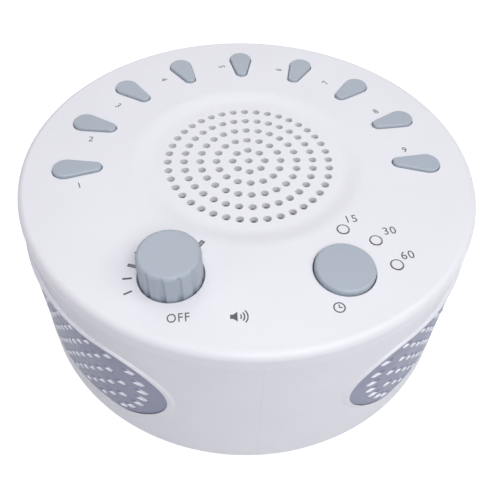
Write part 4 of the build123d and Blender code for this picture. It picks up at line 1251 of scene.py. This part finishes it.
def addSheetWalls(skin, points, walls):
    # walls between front and rear, smooth round each hole
    # pushing faces backwards leaves their sides turned inside out
    ids = np.array(walls)[:, ::-1]
    corners = points[ids]
    faceNormals = np.cross(corners[:, 2] - corners[:, 0], corners[:, 3] - corners[:, 1])
    faceNormals /= np.linalg.norm(faceNormals, axis=1)[:, None]
    totals = np.zeros_like(points)
    for column in range(4):
        np.add.at(totals, ids[:, column], faceNormals)
    normals = totals[ids]
    normals /= np.maximum(np.linalg.norm(normals, axis=2), 1e-9)[:, :, None]
    skin.append((corners, normals))


def addPeg(skin, place):
    # peg through the window's floor, closed at both ends
    ring = ringOf(circleOutline(*place, grille["pegSides"]), grille["pegRadius"])
    middle = np.array((place,))
    ends = windowDepths(middle, window["rear"])[0], windowDepths(middle, grille["pegStart"])[0]
    inner, outer = (sidePoint(ring, 0, depth) for depth in ends)
    addBand(skin, inner, outer)
    for depth, way in zip(ends, (-1.0, 1.0)):
        addSideFlat(skin, [ring], 0, depth, (way, 0.0, 0.0))


def sheetWalls(mesh):
    # which faces join the sheet's front to its rear
    centres = np.array([face.center for face in mesh.polygons])[:, :2]
    centres /= np.linalg.norm(centres, axis=1)[:, None]
    leans = np.array([face.normal for face in mesh.polygons])[:, :2]
    return np.abs((centres * leans).sum(axis=1)) < 0.5


grilleSkin = makeGrilles()
for name, node, skin in (("rightGrille", "side_grille_right", grilleSkin),
                         ("leftGrille", "side_grille_left", turnedSkin(grilleSkin))):
    mesh = skinMesh(skin, name)
    markFaces(mesh, sheetWalls(mesh))
    addPiece(name, mesh, "grille", "housing", [node])
print("side grilles made")


marks = {
    "lift": 0.015,
    "thickness": 0.02,
    "labelSize": 3.35,
    "offSize": 3.5,
    "timeSize": 3.7,
    "spacing": 1.12,
    "bold": 0.012,
    "offSqueeze": 0.86,
    "offTurn": 4,
    "timeTurn": 8,
    # place and turn
    "keyLabels": ((-50.0, -11.2, 20), (-49.4, 9.8, -4), (-42.6, 27.5, -35), (-28.0, 42.7, -56),
                  (-6.9, 50.9, 101), (13.9, 48.6, 77), (30.0, 40.0, 57), (44.7, 22.6, 27), (49.7, 2.4, 4)),
    "off": (-20.2, -57.5),
    "times": (("15", 27.1, -26.8), ("30", 37.0, -31.5), ("60", 39.9, -40.2)),
    "volumeIcon": (-5.8, -57.6),
    "timerIcon": (19.0, -55.9),
    "tickAngles": [207 - 22 * step for step in range(8)],
    "tickStarts": (10.6, 9.8, 9.2, 9.6, 9.9, 10.1, 10.2, 10.3),
    "tickLengths": (2.2, 2.4, 2.5, 2.7, 2.9, 3.0, 3.2, 3.4),
    "tickWidths": (0.5, 0.55, 0.95, 1.0, 1.05, 1.1, 1.2, 1.3),
    "tickBorder": 0.34,
    # width of the painted gap shadow round each lamp lens
    "lampGapShadow": 0.3,
    "hollowTicks": (2, 7),
    "cone": ((-2.0, -0.6), (-1.2, -0.6), (-0.2, -1.4), (-0.2, 1.4), (-1.2, 0.6), (-2.0, 0.6)),
    "waves": (0.9, 1.7, 2.5),
    "waveWidth": 0.35,
    "waveSpan": (-42, 84),
    "clockRadii": (1.55, 1.2),
    # from the clock's middle: x, y, angle, length, width
    "hands": ((0, -0.15, 90, 1.05, 0.3), (0.15, 0, 0, 0.65, 0.3)),
    "circleSides": 48,
}


def addPlate(skin, loops, low, high):
    # thin closed plate between loops; the first is the outside
    addFlat(skin, high, 1.0, loops)
    addFlat(skin, low, -1.0, loops)
    for number, loop in enumerate(loops):
        along = np.roll(loop, -1, axis=0) - loop
        area = (loop[:, 0] * np.roll(loop[:, 1], -1) - np.roll(loop[:, 0], -1) * loop[:, 1]).sum()
        way = (1 if area > 0 else -1) * (1 if number == 0 else -1)
        normals = np.stack([along[:, 1], -along[:, 0], np.zeros(len(loop))], axis=1) * way
        rows = [np.concatenate([loop, np.full((len(loop), 1), height)], axis=1) for height in (low, high)]
        follow = [np.roll(row, -1, axis=0) for row in rows]
        quads = np.stack([rows[0], rows[1], follow[1], follow[0]], axis=1)
        addPatch(skin, quads, np.repeat(normals[:, None], 4, axis=1))


def bar(x, y, angle, length, width):
    # rectangle that starts at a point and runs along an angle
    way = np.array(polar(1, angle))
    side = np.array((-way[1], way[0])) * width / 2
    start = np.array((x, y))
    end = start + way * length
    return np.array((start - side, end - side, end + side, start + side))


def arcBand(x, y, radius, width, start, span, steps=24):
    angles = np.radians(np.linspace(start, start + span, steps + 1))
    rim = np.stack([np.cos(angles), np.sin(angles)], axis=1)
    return np.concatenate([rim * (radius + width / 2), rim[::-1] * (radius - width / 2)]) + (x, y)


def textMesh(words, size, x, y, turn, height, squeeze=1.0, bold=0.0):
    curve = bpy.data.curves.new("words", "FONT")
    curve.body = words
    curve.size = size
    curve.align_x = "CENTER"
    curve.align_y = "CENTER"
    curve.space_character = marks["spacing"]
    curve.extrude = marks["thickness"] / 2
    curve.offset = bold
    curve.resolution_u = 5
    carrier = bpy.data.objects.new("words", curve)
    scene.collection.objects.link(carrier)
    graph = bpy.context.evaluated_depsgraph_get()
    mesh = bpy.data.meshes.new_from_object(carrier.evaluated_get(graph))
    bpy.data.objects.remove(carrier)
    mesh.transform(Matrix.Translation((x, y, height)) @ Matrix.Rotation(math.radians(turn), 4, "Z")
                   @ Matrix.Diagonal((squeeze, 1, 1, 1)))
    return mesh


def makeMarks():
    low = lid["top"] - marks["thickness"] / 2 + marks["lift"]
    high = low + marks["thickness"]
    dark, pale = newSkin(), newSkin()
    for number, angle in enumerate(marks["tickAngles"]):
        reach = marks["tickStarts"][number]
        start = polar(reach, angle, *knobPlace)
        length, width = marks["tickLengths"][number], marks["tickWidths"][number]
        outside = bar(*start, angle, length, width)
        if number in marks["hollowTicks"]:
            border = marks["tickBorder"]
            inside = bar(*polar(reach + border, angle, *knobPlace), angle, length - 2 * border,
                         width - 2 * border)
            addPlate(dark, [outside, inside], low, high)
            addPlate(pale, [inside], low, high)
        else:
            addPlate(dark, [outside], low, high)
    # dark ring just inside each lamp opening: painted shadow of the gap round the lens, in the print's ink
    for place in lamps["places"]:
        edge = circleOutline(*place, marks["circleSides"])
        radii = lamps["opening"], lamps["opening"] - marks["lampGapShadow"]
        addPlate(dark, [ringOf(edge, radius) for radius in radii], low, high)
    # loudspeaker sign and clock sign
    x, y = marks["volumeIcon"]
    addPlate(dark, [np.array(marks["cone"]) + (x, y)], low, high)
    for radius in marks["waves"]:
        addPlate(dark, [arcBand(x - 0.2, y, radius, marks["waveWidth"], *marks["waveSpan"])], low, high)
    x, y = marks["timerIcon"]
    face = circleOutline(x, y, marks["circleSides"])
    addPlate(dark, [ringOf(face, radius) for radius in marks["clockRadii"]], low, high)
    for across, up, *rest in marks["hands"]:
        addPlate(dark, [bar(x + across, y + up, *rest)], low, high)
    level = (low + high) / 2
    texts = [textMesh("OFF", marks["offSize"], *marks["off"], marks["offTurn"], level, marks["offSqueeze"],
                      marks["bold"])]
    texts += [textMesh(words, marks["timeSize"], x, y, marks["timeTurn"], level)
              for words, x, y in marks["times"]]
    texts += [textMesh(str(number), marks["labelSize"], x, y, turn, level)
              for number, (x, y, turn) in enumerate(marks["keyLabels"], 1)]
    for mesh in texts:
        addMesh(dark, mesh)
    # print, together with the painted gap shadow round the lamp lenses
    addPiece("lidMarks", skinMesh(dark, "lidMarks"), "ink", "housing")
    addPiece("paleMarks", skinMesh(pale, "paleMarks"), "paleInk", "housing")


makeMarks()
print("printing made")


nodeFinishes = {
    "base": ["base_plate", "battery_door"],
    "lens": ["light_guide", "lamps"],
    "black": ["power_jack", "timer_switch_body", "sound_switch_bodies", "board_parts", "potentiometer_body"],
    "control": ["timer_switch_plunger"] + [f"sound_switch_plunger_{number}" for number in range(1, 10)],
    "board": ["key_board", "control_board"],
    "steel": ["small_screws", "base_screws", "speaker_basket", "speaker_top_plate", "speaker_yoke"],
    "plated": ["potentiometer_washer", "potentiometer_nut", "power_jack_nut", "battery_springs",
               "battery_contacts"],
    "brass": ["potentiometer_shaft"],
    "rubber": ["rubber_feet", "speaker_gasket", "speaker_surround"],
    "ferrite": ["speaker_magnet"],
    "paper": ["speaker_cone", "speaker_dust_cap", "speaker_damper"],
    "cloth": ["speaker_cloth"],
    "copper": ["voice_coil"],
    "cell": ["battery_cells"],
    "lead": ["leads"],
}
for finish, names in nodeFinishes.items():
    for name in names:
        mesh = nodes[name].data
        mesh.materials.clear()
        mesh.materials.append(finishes[finish])
print("kept pieces finished")


studio = {
    "floorSize": 4000.0,
    "floorColour": (0.57, 0.57, 0.59, 1.0),
    "floorGlow": 0.72,
    "glowReach": (0.15, 0.5),
    "worldColour": (0.7, 0.68, 1.0, 1.0),
    "worldStrength": 0.13,
    "lamps": (
        # name, place, aims at, width, height, watts, colour
        ("keyLight", (420, -150, 560), (0, 0, 40), 420, 420, 1.42, (1.0, 1.0, 0.94)),
        ("topLight", (-80, 160, 700), (0, 0, 50), 600, 600, 1.6, (1.0, 0.99, 0.97)),
        ("frontTopLight", (120, -480, 620), (0, 0, 45), 420, 420, 2.8, (0.98, 0.99, 1.0)),
        ("frontLight", (60, -620, 260), (0, 0, 30), 500, 360, 0.3, (0.97, 0.98, 1.0)),
        ("leftLight", (-560, -260, 380), (0, 0, 40), 420, 420, 0.5, (1.0, 0.96, 0.94)),
        ("backLight", (0, 620, 420), (0, 0, 50), 600, 300, 0.54, (1.0, 0.98, 0.98)),
    ),
}


def makeFloor():
    size = studio["floorSize"] / 2 * mm
    mesh = bpy.data.meshes.new("floor")
    corners = [(-size, -size, 0), (size, -size, 0), (size, size, 0), (-size, size, 0)]
    mesh.from_pydata(corners, [], [(0, 1, 2, 3)])
    material = bpy.data.materials.new("paleFloor")
    material.use_nodes = True
    tree = material.node_tree
    tree.nodes.clear()
    node, sums = partial(addNode, tree), partial(calc, tree)
    rays = node("ShaderNodeLightPath").outputs
    seen = sums("MAXIMUM", rays["Is Camera Ray"], sums("MAXIMUM", rays["Is Glossy Ray"],
                                                           rays["Is Transmission Ray"]))
    matt = node("ShaderNodeBsdfDiffuse", {"Color": studio["floorColour"]}).outputs[0]
    place = node("ShaderNodeTexCoord").outputs["Object"]
    away = node("ShaderNodeVectorMath", {0: place}, operation="LENGTH").outputs["Value"]
    level = rangeOf(tree, away, *studio["glowReach"], studio["floorGlow"], 1.0)
    glow = node("ShaderNodeEmission", {"Color": (1, 1, 1, 1),
                                                "Strength": sums("MULTIPLY", seen, level)}).outputs[0]
    both = node("ShaderNodeAddShader", {0: matt, 1: glow}).outputs[0]
    node("ShaderNodeOutputMaterial", {"Surface": both})
    mesh.materials.append(material)
    floor = bpy.data.objects.new("floor", mesh)
    scene.collection.objects.link(floor)


def makeWorld():
    world = bpy.data.worlds.new("studio")
    world.use_nodes = True
    tree = world.node_tree
    tree.nodes.clear()
    node, sums = partial(addNode, tree), partial(calc, tree)
    rays = node("ShaderNodeLightPath").outputs
    seen = sums("MAXIMUM", rays["Is Camera Ray"], rays["Is Transmission Ray"])
    ambient = node("ShaderNodeBackground", {"Color": studio["worldColour"],
                                                     "Strength": studio["worldStrength"]}).outputs[0]
    white = node("ShaderNodeBackground", {"Color": (1, 1, 1, 1), "Strength": 1.0}).outputs[0]
    both = node("ShaderNodeMixShader", {0: seen, 1: ambient, 2: white}).outputs[0]
    node("ShaderNodeOutputWorld", {"Surface": both})
    scene.world = world


def makeLamps():
    for name, place, aim, width, height, watts, colour in studio["lamps"]:
        light = bpy.data.lights.new(name, "AREA")
        light.shape = "RECTANGLE"
        light.size = width * mm
        light.size_y = height * mm
        light.energy = watts
        light.color = colour
        lamp = bpy.data.objects.new(name, light)
        lamp.location = Vector(place) * mm
        lamp.rotation_euler = (Vector(aim) - Vector(place)).to_track_quat("-Z", "Y").to_euler()
        scene.collection.objects.link(lamp)


makeFloor()
makeWorld()
makeLamps()
scene.view_settings.view_transform = "Standard"
print("studio made")

bpy.context.view_layer.update()
